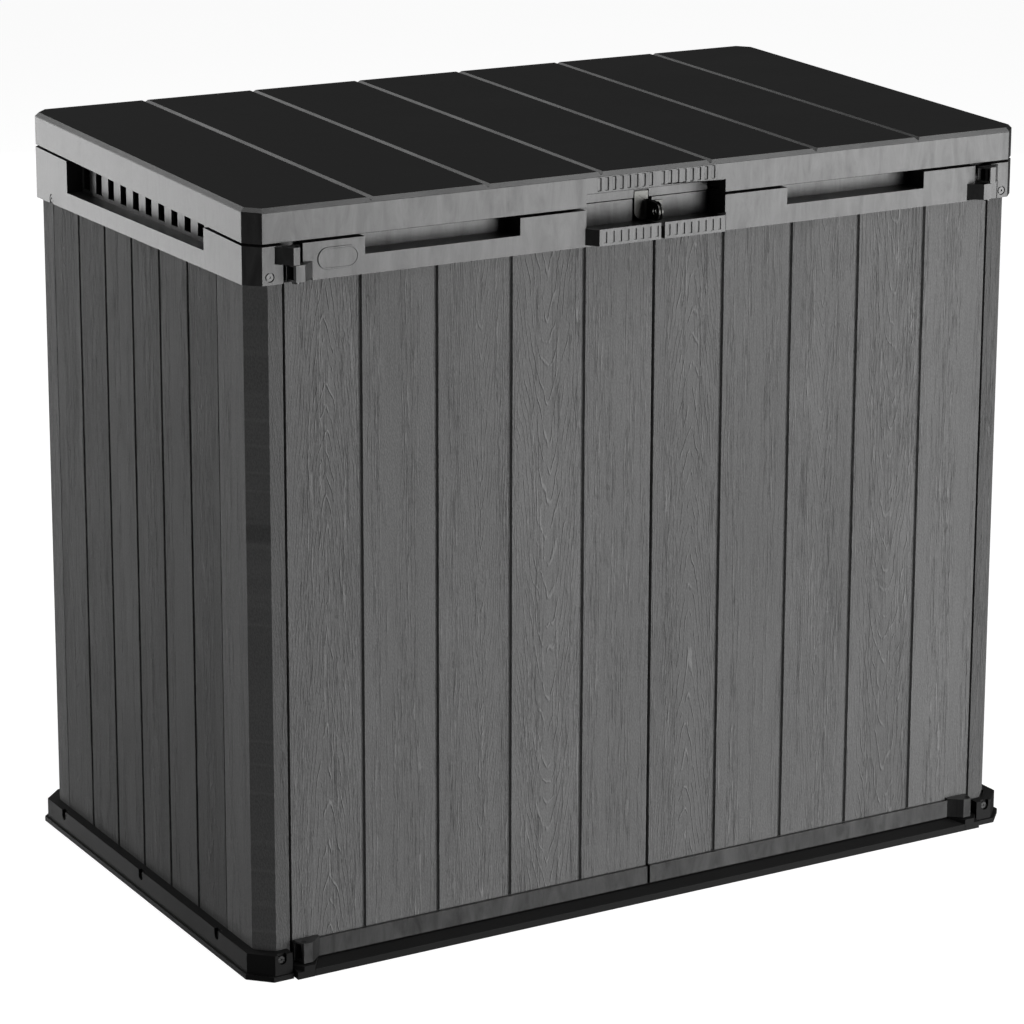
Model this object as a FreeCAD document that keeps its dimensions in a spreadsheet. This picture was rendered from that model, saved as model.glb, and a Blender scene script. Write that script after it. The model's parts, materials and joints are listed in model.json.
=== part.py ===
"""Deck storage box with a sloping plank lid, two front doors and gas struts.

Frame: origin on the ground under the middle of the bounding box, +X to the right
as seen from the front, -Y to the front, +Z up. All sizes are in millimetres.
"""
import FreeCAD, Part
import Sketcher
import os
import re
from FreeCAD import Placement, Rotation, Vector

DIMENSIONS = (
    # floor base and ramp
    ("base_half", 705.0, "half width over the base lip"),
    ("base_front", -408.5, "front of the base corner blocks"),
    ("base_back", 416.5, "back of the base lip"),
    ("base_chamfer", 32.0, "plan chamfer at the base corners"),
    ("lip_height", 8.0, "height of the base lip"),
    ("lip_flare", 4.0, "how far the lip stands out from the rim"),
    ("rim_top", 40.0, "top of the base rim"),
    ("deck_top", 18.0, "top of the floor deck"),
    ("deck_skin", 4.0, "thickness of the floor deck skin"),
    ("deck_front", -388.0, "front edge of the floor deck"),
    ("corner_inner", 640.0, "inner end of the base corner blocks"),
    ("ramp_front", -416.5, "front of the entry ramp"),
    ("ramp_half", 607.6, "half width of the entry ramp at its front"),
    ("ramp_nose", 11.0, "height of the ramp at its front"),
    ("ramp_crest", 17.0, "height of the ramp at its back"),
    # walls and corner posts
    ("wall_half", 685.0, "half width over the side walls"),
    ("wall_front", -386.0, "front face of the posts and door planks"),
    ("wall_back", 394.0, "back face of the rear wall"),
    ("wall_thick", 12.0, "overall thickness of a wall panel"),
    ("wall_top", 1088.0, "top of the walls, inside the headers"),
    ("panel_front", -274.0, "front end of the side wall panels"),
    ("panel_back", 326.5, "back end of the side wall panels"),
    ("post_edge", 635.0, "inner edge of the corner posts"),
    ("joint_gap", 2.0, "open joint between a panel and a post"),
    ("post_chamfer", 27.0, "plan chamfer of the corner posts"),
    ("side_pitch", 100.0, "plank pitch of the side walls"),
    ("back_pitch", 140.0, "plank pitch of the rear wall"),
    ("groove_half", 3.6, "half width of a plank groove at the face"),
    ("groove_floor", 2.0, "half width of a plank groove at its floor"),
    ("groove_depth", 4.5, "depth of a plank groove"),
    ("pocket_depth", 9.2, "depth of the pockets in a panel's inner face"),
    ("rib", 7.0, "half width of the ribs behind the grooves"),
    # headers, doors' rails and lid skirt share one outline
    ("trim_half", 691.0, "half width of the lid and the headers"),
    ("trim_front", -392.0, "front plane of the lid, headers and door rails"),
    ("trim_back", 400.0, "back plane of the lid and headers"),
    ("trim_chamfer", 22.0, "plan chamfer of the lid and headers"),
    ("header_bottom", 1065.5, "underside of the headers"),
    ("header_deep", 30.0, "thickness of the headers"),
    ("seam_front", 1122.2, "top of the headers at the front plane"),
    ("seam_gap", 3.8, "gap between the headers and the lid"),
    ("slope", 0.0338, "rise of the lid per unit of depth"),
    ("slope_angle", 1.9359, "the same slope in degrees"),
    # side vents
    ("vent_front", -244.0, "front end of the side vent recess"),
    ("vent_back", 255.0, "back end of the side vent recess"),
    ("vent_floor", 1093.0, "floor of the side vent recess"),
    ("vent_deep", 26.0, "depth of the side vent recess"),
    ("slot_pitch", 46.3, "pitch of the vent slots"),
    ("slot_width", 22.0, "width of a vent slot"),
    ("slot_floor", 1099.0, "bottom of the vent slots"),
    # lid
    ("lid_skirt", 45.8, "height of the lid skirt"),
    ("skirt_wall", 4.0, "thickness of the lid skirt"),
    ("panel_rise", 6.2, "height of the plank panel above the skirt"),
    ("bevel", 5.7, "bevel round the plank panel"),
    ("lid_pitch", 196.0, "plank pitch of the lid"),
    ("liner_deep", 25.0, "depth of the lid liner"),
    ("recess_half", 125.0, "half width of the latch recess"),
    ("recess_back", -350.0, "back wall of the latch recess"),
    ("recess_top", 1146.0, "ceiling of the latch recess"),
    ("recess_slot", 6.0, "width of the upright slot at each end of the recess wall"),
    ("tongue_half", 122.5, "half width of the lid's part of the recess wall"),
    ("tongue_low", 1123.4, "lower edge of the lid's part of the recess wall"),
    # finger ribs
    ("finger_first", 10.6, "middle of the first finger groove"),
    ("finger_pitch", 13.1, "pitch of the finger grooves"),
    ("finger_width", 5.6, "width of a finger groove"),
    ("finger_deep", 1.6, "depth of a finger groove"),
    # doors
    ("door_gap", 2.5, "half of the gap between the doors"),
    ("door_edge", 631.0, "hinge-side edge of a door"),
    ("door_pitch", 127.7, "plank pitch of the doors"),
    ("door_low", 20.0, "underside of the doors"),
    ("sill_rail_top", 48.6, "top of the bottom rail"),
    ("top_rail_low", 1066.0, "underside of the top rail"),
    ("top_rail_top", 1122.0, "top of the top rail"),
    ("rail_back", -344.0, "back of the top rail"),
    ("sill_rail_back", -374.0, "back of the bottom rail"),
    ("rail_end", 603.5, "end of the top rail beside the header knuckle"),
    ("step_end", 588.0, "end of the rails at the door knuckle"),
    ("notch_near", 240.0, "end of the rail notch nearest the middle"),
    ("notch_far", 502.0, "end of the rail notch nearest the hinge"),
    ("notch_floor", 1095.4, "floor of the rail notch"),
    ("notch_back", -348.0, "back wall of the rail notch"),
    ("ledge_front", -410.8, "front of the handle ledge"),
    ("ledge_low", 1069.0, "underside of the handle ledge"),
    ("ledge_top", 1094.5, "top of the handle ledge"),
    ("ledge_floor", 1087.5, "floor of the latch recess"),
    # door hinges
    ("pivot_x", 620.0, "distance of the door pivots from the middle"),
    ("pivot_y", -402.0, "door pivots, front to back"),
    ("knuckle_front", -409.5, "front of the door knuckles"),
    ("ear_front", -412.5, "front of the header knuckles"),
    ("pin_radius", 4.0, "radius of the hinge pins"),
    ("bore_radius", 4.05, "radius of the hinge bores"),
    ("upper_low", 1095.5, "underside of the header knuckle"),
    ("upper_top", 1121.0, "top of the header knuckle"),
    ("lower_low", 1069.0, "underside of the upper door knuckle"),
    ("lower_top", 1094.0, "top of the upper door knuckle"),
    ("foot_low", 20.5, "underside of the lower door knuckle"),
    ("foot_top", 52.0, "top of the lower door knuckle"),
    ("block_top", 19.0, "top of the hinge block on the base"),
    ("knuckle_skin", 3.0, "thickness of a knuckle's end plates"),
    # lid hinges
    ("axis_y", 408.5, "lid pivot, front to back"),
    ("axis_z", 1151.0, "lid pivot height"),
    ("barrel_radius", 8.0, "radius of the lid hinge barrels"),
    ("lug_inner", 15.0, "half width of the lid's hinge lug"),
    ("lug_gap", 0.4, "side gap between hinge lugs"),
    ("lug_outer", 40.0, "half width over a whole lid hinge"),
    ("hinge_spread", 470.0, "distance of the outer lid hinges from the middle"),
    # latch plates
    ("plate_thick", 2.5, "thickness of the latch plates"),
    ("hasp_left", -13.5, "left edge of the hasp plate"),
    ("hasp_lug", 7.7, "left face of the hasp lug"),
    ("hasp_low", 1089.5, "bottom of the hasp plate"),
    ("hasp_top", 1133.0, "top of the hasp plate"),
    ("hasp_screw_z", 1127.0, "height of the hasp screws"),
    ("hasp_front", -350.0, "front face of the hasp plate"),
    ("lug_reach", -372.5, "centre of a lug's rounded end"),
    ("lug_radius", 14.5, "radius of a lug's rounded end"),
    ("lug_z", 1104.0, "height of the padlock hole"),
    ("lock_hole", 5.5, "radius of the padlock hole"),
    ("staple_screw_x", 28.0, "distance of the staple screws from the middle"),
    ("staple_lug", 13.2, "left face of the staple lug"),
    # gas struts
    ("strut_x", 640.0, "distance of the struts from the middle"),
    ("strut_base_y", 350.0, "lower strut pivot, front to back"),
    ("strut_base_z", 940.0, "lower strut pivot height"),
    ("strut_tilt", 11.7683, "lean of a closed strut from upright, degrees"),
    ("strut_closed", 196.12, "distance between the pivots of a closed strut"),
    ("strut_top_y", 310.0, "upper strut pivot of the closed lid, front to back"),
    ("strut_top_z", 1132.0, "upper strut pivot height with the lid closed"),
    ("tube_radius", 9.0, "outer radius of the strut tube"),
    ("tube_bore", 7.6, "bore radius of the strut tube"),
    ("tube_start", 14.0, "start of the tube above the lower pivot"),
    ("tube_end", 150.0, "end of the tube above the lower pivot"),
    ("gland_start", 142.0, "start of the gland above the lower pivot"),
    ("rod_start", 20.0, "start of the rod above the lower pivot"),
    ("rod_end", 182.0, "end of the rod above the lower pivot"),
    ("stud_radius", 4.0, "radius of the strut studs"),
    ("slot_travel", 12.6, "length that the lid stud may shift in its slot"),
    ("slot_half", 6.2, "half width of the lid bracket's slot"),
    ("slot_z", 1132.65, "middle of the lid bracket's slot with the lid closed"),
    # screws
    ("base_screw_z", 31.0, "height of the rim screws"),
    ("strip_screw_z", 1077.0, "height of the screws in the header's front strip"),
    ("corner_screw_x", 657.0, "distance of the front corner screws from the middle"),
    ("header_screw_y", 319.0, "header side screw, front to back"),
    ("header_screw_z", 1073.5, "height of the header side screws"),
    ("rear_screw_z", 1077.0, "height of the rear header screws"),
    ("tongue", 10.0, "length of the door panel's tongues"),
    ("tongue_end", 586.0, "hinge-side end of the door panel's tongues"),
    ("head_radius", 5.5, "radius of a screw head"),
    ("head_height", 2.4, "height of a screw head"),
    ("shank_radius", 2.0, "radius of a screw shank"),
    ("shank_hole", 2.1, "radius of a screw hole"),
)

FINGER_GROOVES = 8
BASE_SIDE_SCREWS = ("-268", "8.8", "313")
BASE_REAR_SCREWS = ("-450", "0", "450")
BRACKET_SCREWS = ("strut_base_z - 17", "strut_base_z + 17")
HASP_SCREWS = (("left", "-9"), ("right", "5"))
LINER_SCREWS = [(x, y) for y in ("67", "755") for x in ("-490", "-98", "98", "490")]

doc = FreeCAD.newDocument("DeckStorageBox")
nodes = []


def make_sheet():
    """Fill the sheet of driving dimensions and return it."""
    sheet = doc.addObject("Spreadsheet::Sheet", "Dims")
    for row, (alias, value, note) in enumerate(DIMENSIONS, start=1):
        sheet.set(f"A{row}", alias)
        sheet.set(f"B{row}", str(value))
        sheet.set(f"C{row}", note)
        sheet.setAlias(f"B{row}", alias)
    doc.recompute()
    return sheet


ALIASES = {alias for alias, value, note in DIMENSIONS}
sheet = make_sheet()


def formula(text):
    """Point every dimension named in an expression at the sheet."""
    def named(match):
        word = match.group(0)
        return f"Dims.{word}" if word in ALIASES else word
    return re.sub(r"[A-Za-z_]\w*", named, str(text))


def bind(item, **expressions):
    """Drive properties of an object by expressions on the sheet."""
    for path, text in expressions.items():
        item.setExpression(path.replace("__", "."), formula(text))


def keep(item, label):
    """Register an object as a sub-part of the model."""
    item.Label = label
    nodes.append(item)
    return item


def plane(z_front, y):
    """Height at depth y of a lid-sloped plane given at the front plane."""
    return f"({z_front}) + slope * (({y}) - trim_front)"


# ---------------------------------------------------------------- primitives


def block(name, x, y, z):
    """Block between two expressions on each axis."""
    item = doc.addObject("Part::Box", name)
    bind(item, Length=f"({x[1]}) - ({x[0]})", Width=f"({y[1]}) - ({y[0]})",
         Height=f"({z[1]}) - ({z[0]})", Placement__Base__x=x[0],
         Placement__Base__y=y[0], Placement__Base__z=z[0])
    return item


def wedge(name, y, x_front, x_back, z_front, z_back):
    """Frustum along Y between a front and a back rectangle."""
    item = doc.addObject("Part::Wedge", name)
    bind(item, Ymin=y[0], Ymax=y[1], Xmin=x_front[0], Xmax=x_front[1],
         X2min=x_back[0], X2max=x_back[1], Zmin=z_front[0], Zmax=z_front[1],
         Z2min=z_back[0], Z2max=z_back[1])
    return item


DIRECTIONS = {
    "x": Vector(1, 0, 0), "-x": Vector(-1, 0, 0), "y": Vector(0, 1, 0),
    "-y": Vector(0, -1, 0), "z": Vector(0, 0, 1), "-z": Vector(0, 0, -1),
}


def cylinder(name, radius, length, start, direction):
    """Cylinder from a start point along an axis direction."""
    item = doc.addObject("Part::Cylinder", name)
    turn = Rotation(Vector(0, 0, 1), DIRECTIONS[direction])
    item.Placement = Placement(Vector(0, 0, 0), turn)
    bind(item, Radius=radius, Height=length, Placement__Base__x=start[0],
         Placement__Base__y=start[1], Placement__Base__z=start[2])
    return item


def fuse(name, parts):
    """Union of several objects."""
    item = doc.addObject("Part::MultiFuse", name)
    item.Shapes = parts
    item.Refine = True
    return item


def group(name, parts):
    """Separate solids kept together as one object."""
    item = doc.addObject("Part::Compound", name)
    item.Links = parts
    return item


def cut(name, base, tools):
    """An object less one or more tools."""
    item = doc.addObject("Part::Cut", name)
    item.Base = base
    item.Tool = tools[0] if len(tools) == 1 else fuse(name + "_tools", tools)
    item.Refine = True
    return item


def common(name, first, second):
    """What two objects share."""
    item = doc.addObject("Part::Common", name)
    item.Base = first
    item.Tool = second
    item.Refine = True
    return item


def mirrored(source, label):
    """Opposite-hand copy of a sub-part across the middle plane."""
    item = doc.addObject("Part::Mirroring", label)
    item.Source = source
    item.Base = Vector(0, 0, 0)
    item.Normal = Vector(1, 0, 0)
    return keep(item, label)


def chamfered(name, half, y, chamfer, z):
    """Upright prism with its four corners cut at 45 degrees in plan."""
    square = block(name + "_square", (f"-({half})", half), y, z)
    turned = doc.addObject("Part::Box", name + "_turned")
    turned.Placement = Placement(Vector(0, 0, 0), Rotation(Vector(0, 0, 1), 45))
    reach = f"({half}) + (({y[1]}) - ({y[0]})) / 2 - ({chamfer})"
    bind(turned, Length=f"sqrt(2) * ({reach})", Width=f"sqrt(2) * ({reach})",
         Height=f"({z[1]}) - ({z[0]})", Placement__Base__z=z[0],
         Placement__Base__y=f"(({y[0]}) + ({y[1]})) / 2 - ({reach})")
    return common(name, square, turned)


# ---------------------------------------------------------------- part design


def origin_feature(body, role):
    """One of a body's origin planes or axes."""
    return next(f for f in body.Origin.OriginFeatures if f.Role == role)


def new_sketch(body, name, role, offset="0"):
    """Sketch on one of the body's origin planes, moved along its normal."""
    sketch = body.newObject("Sketcher::SketchObject", name)
    sketch.AttachmentSupport = [(origin_feature(body, role), "")]
    sketch.MapMode = "FlatFace"
    bind(sketch, AttachmentOffset__Base__z=offset)
    return sketch


def polygon(sketch, points):
    """Closed outline whose corners are driven by pairs of expressions."""
    first = sketch.GeometryCount
    count = len(points)
    starts = [Rotation(Vector(0, 0, 1), 360.0 * k / count).multVec(Vector(10, 0, 0))
              for k in range(count)]
    for k in range(count):
        sketch.addGeometry(Part.LineSegment(starts[k], starts[(k + 1) % count]), False)
    for k in range(count):
        line, after = first + k, first + (k + 1) % count
        constrain(sketch, "Coincident", line, 2, after, 1)
    for k, (x, y) in enumerate(points):
        line = first + k
        across = constrain(sketch, "DistanceX", -1, 1, line, 1, starts[k].x)
        along = constrain(sketch, "DistanceY", -1, 1, line, 1, starts[k].y)
        sketch.setExpression(f"Constraints[{across}]", formula(x))
        sketch.setExpression(f"Constraints[{along}]", formula(y))


def constrain(sketch, *terms):
    """Add one constraint and return its index."""
    return sketch.addConstraint(Sketcher.Constraint(*terms))


def circle(sketch, x, y, radius):
    """Circle whose centre and radius are driven by expressions."""
    shape = Part.Circle(Vector(20, 20, 0), Vector(0, 0, 1), 3)
    index = sketch.addGeometry(shape, False)
    terms = (constrain(sketch, "DistanceX", -1, 1, index, 3, 20),
             constrain(sketch, "DistanceY", -1, 1, index, 3, 20),
             constrain(sketch, "Radius", index, 3))
    for term, text in zip(terms, (x, y, radius)):
        sketch.setExpression(f"Constraints[{term}]", formula(text))


def rectangle(sketch, x, y):
    """Rectangle between two expressions on each sketch axis."""
    polygon(sketch, [(x[0], y[0]), (x[1], y[0]), (x[1], y[1]), (x[0], y[1])])


def pad(body, sketch, length, downward=False):
    """Pad a sketch along its normal, or against it."""
    feature = body.newObject("PartDesign::Pad", sketch.Name + "_pad")
    feature.Profile = sketch
    feature.Reversed = downward
    bind(feature, Length=length)
    doc.recompute()
    return feature


def pocket(body, sketch, depth, along_normal=False):
    """Pocket a sketch and make sure that it takes material away."""
    before = body.Shape.Volume
    feature = body.newObject("PartDesign::Pocket", sketch.Name + "_pocket")
    feature.Profile = sketch
    feature.Reversed = along_normal
    bind(feature, Length=depth)
    doc.recompute()
    if not body.Shape.Volume < before - 1e-3:
        raise RuntimeError(f"{feature.Name} cuts nothing")
    return feature


def repeat(body, feature, role, length, count):
    """Repeat a feature along one of the body's origin axes."""
    pattern = body.newObject("PartDesign::LinearPattern", feature.Name + "_row")
    pattern.Originals = [feature]
    pattern.Direction = (origin_feature(body, role), [""])
    pattern.Occurrences = count
    bind(pattern, Length=length)
    body.Tip = pattern
    doc.recompute()
    return pattern


def new_body(name):
    """Empty body."""
    return doc.addObject("PartDesign::Body", name)


def place(item, x="0", y="0", z="0", axis=Vector(0, 0, 1), angle=0.0):
    """Turn an object about an axis and bind its position to the sheet."""
    item.Placement = Placement(Vector(0, 0, 0), Rotation(axis, angle))
    bind(item, Placement__Base__x=x, Placement__Base__y=y, Placement__Base__z=z)


# ---------------------------------------------------------------- panels


def plank_panel(label, width, height, pitch, columns, rows):
    """Wall panel with grooves between planks outside and a rib grid inside.

    The outer face is the body's XZ plane, the planks run up, and the panel grows
    from the origin to +X, +Y and +Z.
    """
    body = new_body(label + "_planks")
    outline = new_sketch(body, label + "_outline", "XY_Plane")
    rectangle(outline, ("0", width), ("0", "wall_thick"))
    pad(body, outline, height)

    first = f"(({width}) - {columns - 2} * ({pitch})) / 2"
    groove = new_sketch(body, label + "_groove", "XY_Plane")
    polygon(groove, [(f"{first} - groove_half", "0"), (f"{first} + groove_half", "0"),
                     (f"{first} + groove_floor", "groove_depth"),
                     (f"{first} - groove_floor", "groove_depth")])
    cutter = pocket(body, groove, height, along_normal=True)
    repeat(body, cutter, "X_Axis", f"({pitch}) * {columns - 2}", columns - 1)

    inner = new_sketch(body, label + "_pockets", "XZ_Plane", "-wall_thick")
    cell = f"(({height}) - 4 * rib) / {rows}"
    for row in range(rows):
        low = f"2 * rib + {row} * ({cell})"
        rectangle(inner, (f"{first} - ({pitch}) + rib + 2", f"{first} - rib"),
                  (f"{low} + 2", f"{low} + ({cell}) - 6"))
    cells = pocket(body, inner, "pocket_depth", along_normal=True)
    repeat(body, cells, "X_Axis", f"({pitch}) * {columns - 1}", columns)
    return body


def side_walls():
    """Panels of six planks between the corner posts."""
    height = "wall_top - deck_top"
    panel = plank_panel("left_wall", "panel_back - panel_front - 2 * joint_gap",
                        height, "side_pitch", 6, 7)
    place(panel, "-wall_half", "panel_back - joint_gap", "deck_top", angle=-90.0)
    holes = [cylinder("wall_header_hole", "shank_hole", "8",
                      ("-wall_half - 1", "header_screw_y", "header_screw_z"), "x")]
    for index, y in enumerate(BASE_SIDE_SCREWS):
        holes.append(cylinder(f"wall_base_hole_{index}", "shank_hole", "8",
                              ("-wall_half - 1", y, "base_screw_z"), "x"))
    left = keep(cut("left_wall", panel, holes), "left_wall")
    mirrored(left, "right_wall")


def rear_wall():
    """Panel of nine planks across the back."""
    panel = plank_panel("back_wall", "2 * (post_edge - joint_gap)",
                        "wall_top - deck_top", "back_pitch", 9, 7)
    place(panel, "post_edge - joint_gap", "wall_back", "deck_top", angle=180.0)
    holes = []
    for index, x in enumerate(BASE_REAR_SCREWS):
        holes.append(cylinder(f"back_base_hole_{index}", "shank_hole", "9",
                              (x, "wall_back + 1", "base_screw_z"), "-y"))
    for index, middle in enumerate(hinge_stations()):
        holes.append(cylinder(f"back_header_hole_{index}", "shank_hole", "10",
                              (f"{middle} + 100", "wall_back + 1", "rear_screw_z"), "-y"))
    keep(cut("back_wall", panel, holes), "back_wall")


def corner_post(label, end, corner, inward):
    """Angled post that wraps round one left-hand corner.

    end is where its side leg stops, corner its outer face front or back, and
    inward is +1 where the inside of the box lies towards +Y.
    """
    body = new_body(label + "_angle")
    plan = new_sketch(body, label + "_plan", "XY_Plane")
    chamfer = f"{inward} * post_chamfer"
    skin = f"{inward} * wall_thick"
    # the inner corner keeps the skin thickness square to the chamfer
    inner_cut = "(post_chamfer - wall_thick * (2 - sqrt(2)))"
    polygon(plan, [
        ("-wall_half", end), ("-wall_half", f"{corner} + {chamfer}"),
        ("-wall_half + post_chamfer", corner), ("-post_edge", corner),
        ("-post_edge", f"{corner} + {skin}"),
        (f"-wall_half + wall_thick + {inner_cut}", f"{corner} + {skin}"),
        ("-wall_half + wall_thick", f"{corner} + {skin} + {inward} * {inner_cut}"),
        ("-wall_half + wall_thick", end)])
    pad(body, plan, "wall_top - deck_top")
    place(body, z="deck_top")
    return body


def corner_posts():
    """Four corner posts, drilled for the header, base and bracket screws."""
    front = corner_post("left_front_post", "panel_front", "wall_front", 1)
    holes = [cylinder(f"front_post_hole_{index}", "shank_hole", "10",
                      ("-corner_screw_x", "wall_front - 1", z), "y")
             for index, z in enumerate(("base_screw_z", "strip_screw_z"))]
    mirrored(keep(cut("left_front_post", front, holes), "left_front_post"),
             "right_front_post")

    rear = corner_post("left_rear_post", "panel_back", "wall_back", -1)
    holes = [cylinder(f"rear_post_hole_{index}", "shank_hole", "9",
                      ("-wall_half + wall_thick + 1", "strut_base_y", z), "-x")
             for index, z in enumerate(BRACKET_SCREWS)]
    mirrored(keep(cut("left_rear_post", rear, holes), "left_rear_post"),
             "right_rear_post")


# ---------------------------------------------------------------- base


def screw_notches(name):
    """U-shaped notches in the rim, open at the top, that sink the screw heads."""
    tools = []
    for index, (x, y, direction) in enumerate(base_screw_places()):
        centre = cylinder(f"{name}_{index}_round", "7", "6", (x, y, "base_screw_z"), direction)
        if direction in ("x", "-x"):
            low, high = (x, f"{x} + 6") if direction == "x" else (f"{x} - 6", x)
            slot = block(f"{name}_{index}_slot", (low, high), (f"{y} - 7", f"{y} + 7"),
                         ("base_screw_z", "rim_top + 2"))
        else:
            low, high = (y, f"{y} + 6") if direction == "y" else (f"{y} - 6", y)
            slot = block(f"{name}_{index}_slot", (f"{x} - 7", f"{x} + 7"), (low, high),
                         ("base_screw_z", "rim_top + 2"))
        tools += [centre, slot]
    return tools


def base_screw_places():
    """Where the rim screws go: a point on the outer face and the way in."""
    rim_half = "(base_half - lip_flare)"
    places = []
    for y in BASE_SIDE_SCREWS:
        places.append((f"-{rim_half}", y, "x"))
        places.append((rim_half, y, "-x"))
    for x in ("-corner_screw_x", "corner_screw_x"):
        places.append((x, "base_front + lip_flare", "y"))
    for x in BASE_REAR_SCREWS:
        places.append((x, "base_back - lip_flare", "-y"))
    return places


def floor_base():
    """Moulded floor: lip, rim, deck, hinge blocks and anchor holes."""
    lip = chamfered("base_lip", "base_half", ("base_front", "base_back"),
                    "base_chamfer", ("0", "lip_height"))
    rim_y = ("base_front + lip_flare", "base_back - lip_flare")
    rim = chamfered("base_rim", "base_half - lip_flare", rim_y, "base_chamfer",
                    ("0", "rim_top"))
    solid = fuse("base_solid", [lip, rim])
    tray = chamfered("base_tray", "wall_half", ("wall_front", "wall_back"),
                     "trim_chamfer", ("deck_top", "rim_top + 20"))
    mouth = block("base_mouth", ("-corner_inner", "corner_inner"),
                  ("base_front - 1", "deck_front"), ("-1", "rim_top + 1"))
    door_way = block("base_doorway", ("-corner_inner", "corner_inner"),
                     ("deck_front - 1", "wall_front + 30"), ("deck_top", "rim_top + 1"))
    shell = cut("base_shell", solid, [tray, mouth, door_way] + screw_notches("rim_notch"))

    blocks = []
    for side in (-1, 1):
        front = sorted_pair(side, "608", "626")
        back = sorted_pair(side, "step_end", "651")
        blocks.append(wedge(f"base_hinge_block_{side + 1}", ("ramp_front", "deck_front"),
                            front, back, ("0", "block_top"), ("0", "block_top")))
        sill = sorted_pair(side, "615", "637")
        blocks.append(wedge(f"base_sill_end_{side + 1}", ("ramp_front", "deck_front"),
                            sill, sill, ("0", "ramp_nose"), ("0", "ramp_crest")))
    body = fuse("base_body", [shell] + blocks)

    tools = []
    columns, rows = 10, 6
    for column in range(columns):
        for row in range(rows):
            x_low = f"-665 + {column} * 133 + 3"
            y_low = f"deck_front + 14 + {row} * 127.5 + 3"
            tools.append(block(f"base_cell_{column}_{row}", (x_low, f"{x_low} + 127"),
                               (y_low, f"{y_low} + 121.5"), ("-1", "deck_top - deck_skin")))
    bored = cut("base_cells_cut", body, tools)

    bosses = []
    holes = []
    for index, (x, y) in enumerate(anchor_places()):
        bosses.append(cylinder(f"anchor_boss_{index}", "13", "deck_top", (x, y, "0"), "z"))
        holes.append(cylinder(f"anchor_hole_{index}", "4.5", "deck_top + 2",
                              (x, y, "-1"), "z"))
    for side in (-1, 1):
        holes.append(cylinder(f"base_pin_bore_{side + 1}", "bore_radius", "block_top",
                              (f"{side} * pivot_x", "pivot_y", "5"), "z"))
    for index, (x, y, direction) in enumerate(base_screw_places()):
        holes.append(cylinder(f"rim_hole_{index}", "shank_hole", "20",
                              (x, y, "base_screw_z"), direction))
    bosses.append(cylinder("centre_pad", "25", "deck_top", ("0", "8.5", "0"), "z"))
    bossed = fuse("base_bossed", [bored] + bosses)
    keep(cut("floor_base", bossed, holes), "floor_base")


def anchor_places():
    """Corners of the rectangle of ground anchor holes."""
    return [(x, y) for x in ("-560", "560") for y in ("-300", "300")]


def sorted_pair(side, near, far):
    """Span between two distances from the middle, on the side asked for."""
    return (near, far) if side > 0 else (f"-({far})", f"-({near})")


def entry_ramp():
    """Sloped sill in front of the doors, hollow underneath."""
    x = ("-ramp_half", "ramp_half")
    slope = wedge("ramp_slope", ("ramp_front", "wall_front - 8"), x, x,
                  ("0", "ramp_nose"), ("0", "ramp_crest"))
    crest = block("ramp_flat", x, ("wall_front - 8", "deck_front"), ("0", "ramp_crest"))
    solid = fuse("ramp_solid", [slope, crest])
    tools = []
    for side in (-1, 1):
        front = sorted_pair(side, "ramp_half", "626")
        back = sorted_pair(side, "step_end - 0.4", "651")
        tools.append(wedge(f"ramp_block_gap_{side + 1}", ("ramp_front", "deck_front"),
                           front, back, ("-1", "block_top"), ("-1", "block_top")))
    for cell in range(9):
        low = f"-580 + {cell} * 129 + 4"
        tools.append(block(f"ramp_cell_{cell}", (low, f"{low} + 121"),
                           ("ramp_front + 4", "deck_front - 4"), ("-1", "7")))
    keep(cut("entry_ramp", solid, tools), "entry_ramp")


# ---------------------------------------------------------------- headers


def wall_groove(name):
    """Ring that seats the tops of the walls in the headers."""
    z = ("header_bottom - 1", "wall_top")
    outer = chamfered(name + "_outer", "wall_half", ("wall_front", "wall_back"),
                      "post_chamfer", z)
    inner = chamfered(name + "_inner", "wall_half - wall_thick",
                      ("wall_front + wall_thick", "wall_back - wall_thick"),
                      "post_chamfer - wall_thick * (2 - sqrt(2))", z)
    return cut(name, outer, [inner])


def below_seam(name):
    """Everything under the sloping top of the headers."""
    front, back = "trim_front - 60", "trim_back + 60"
    x = ("-base_half", "base_half")
    return wedge(name, (front, back), x, x, ("0", plane("seam_front", front)),
                 ("0", plane("seam_front", back)))


def knuckle(name, front, x_front, x_back, z):
    """Trapezoid hinge knuckle that tapers to the front."""
    return wedge(name, (front, "trim_front"), x_front, x_back, z, z)


def knuckle_hollow(name, front, x, z_low, z_top):
    """Space inside a knuckle, open at its free side."""
    return block(name, x, (f"{front} + 2", "trim_front - 1"),
                 (f"{z_low} + knuckle_skin", f"{z_top} - knuckle_skin"))


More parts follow.
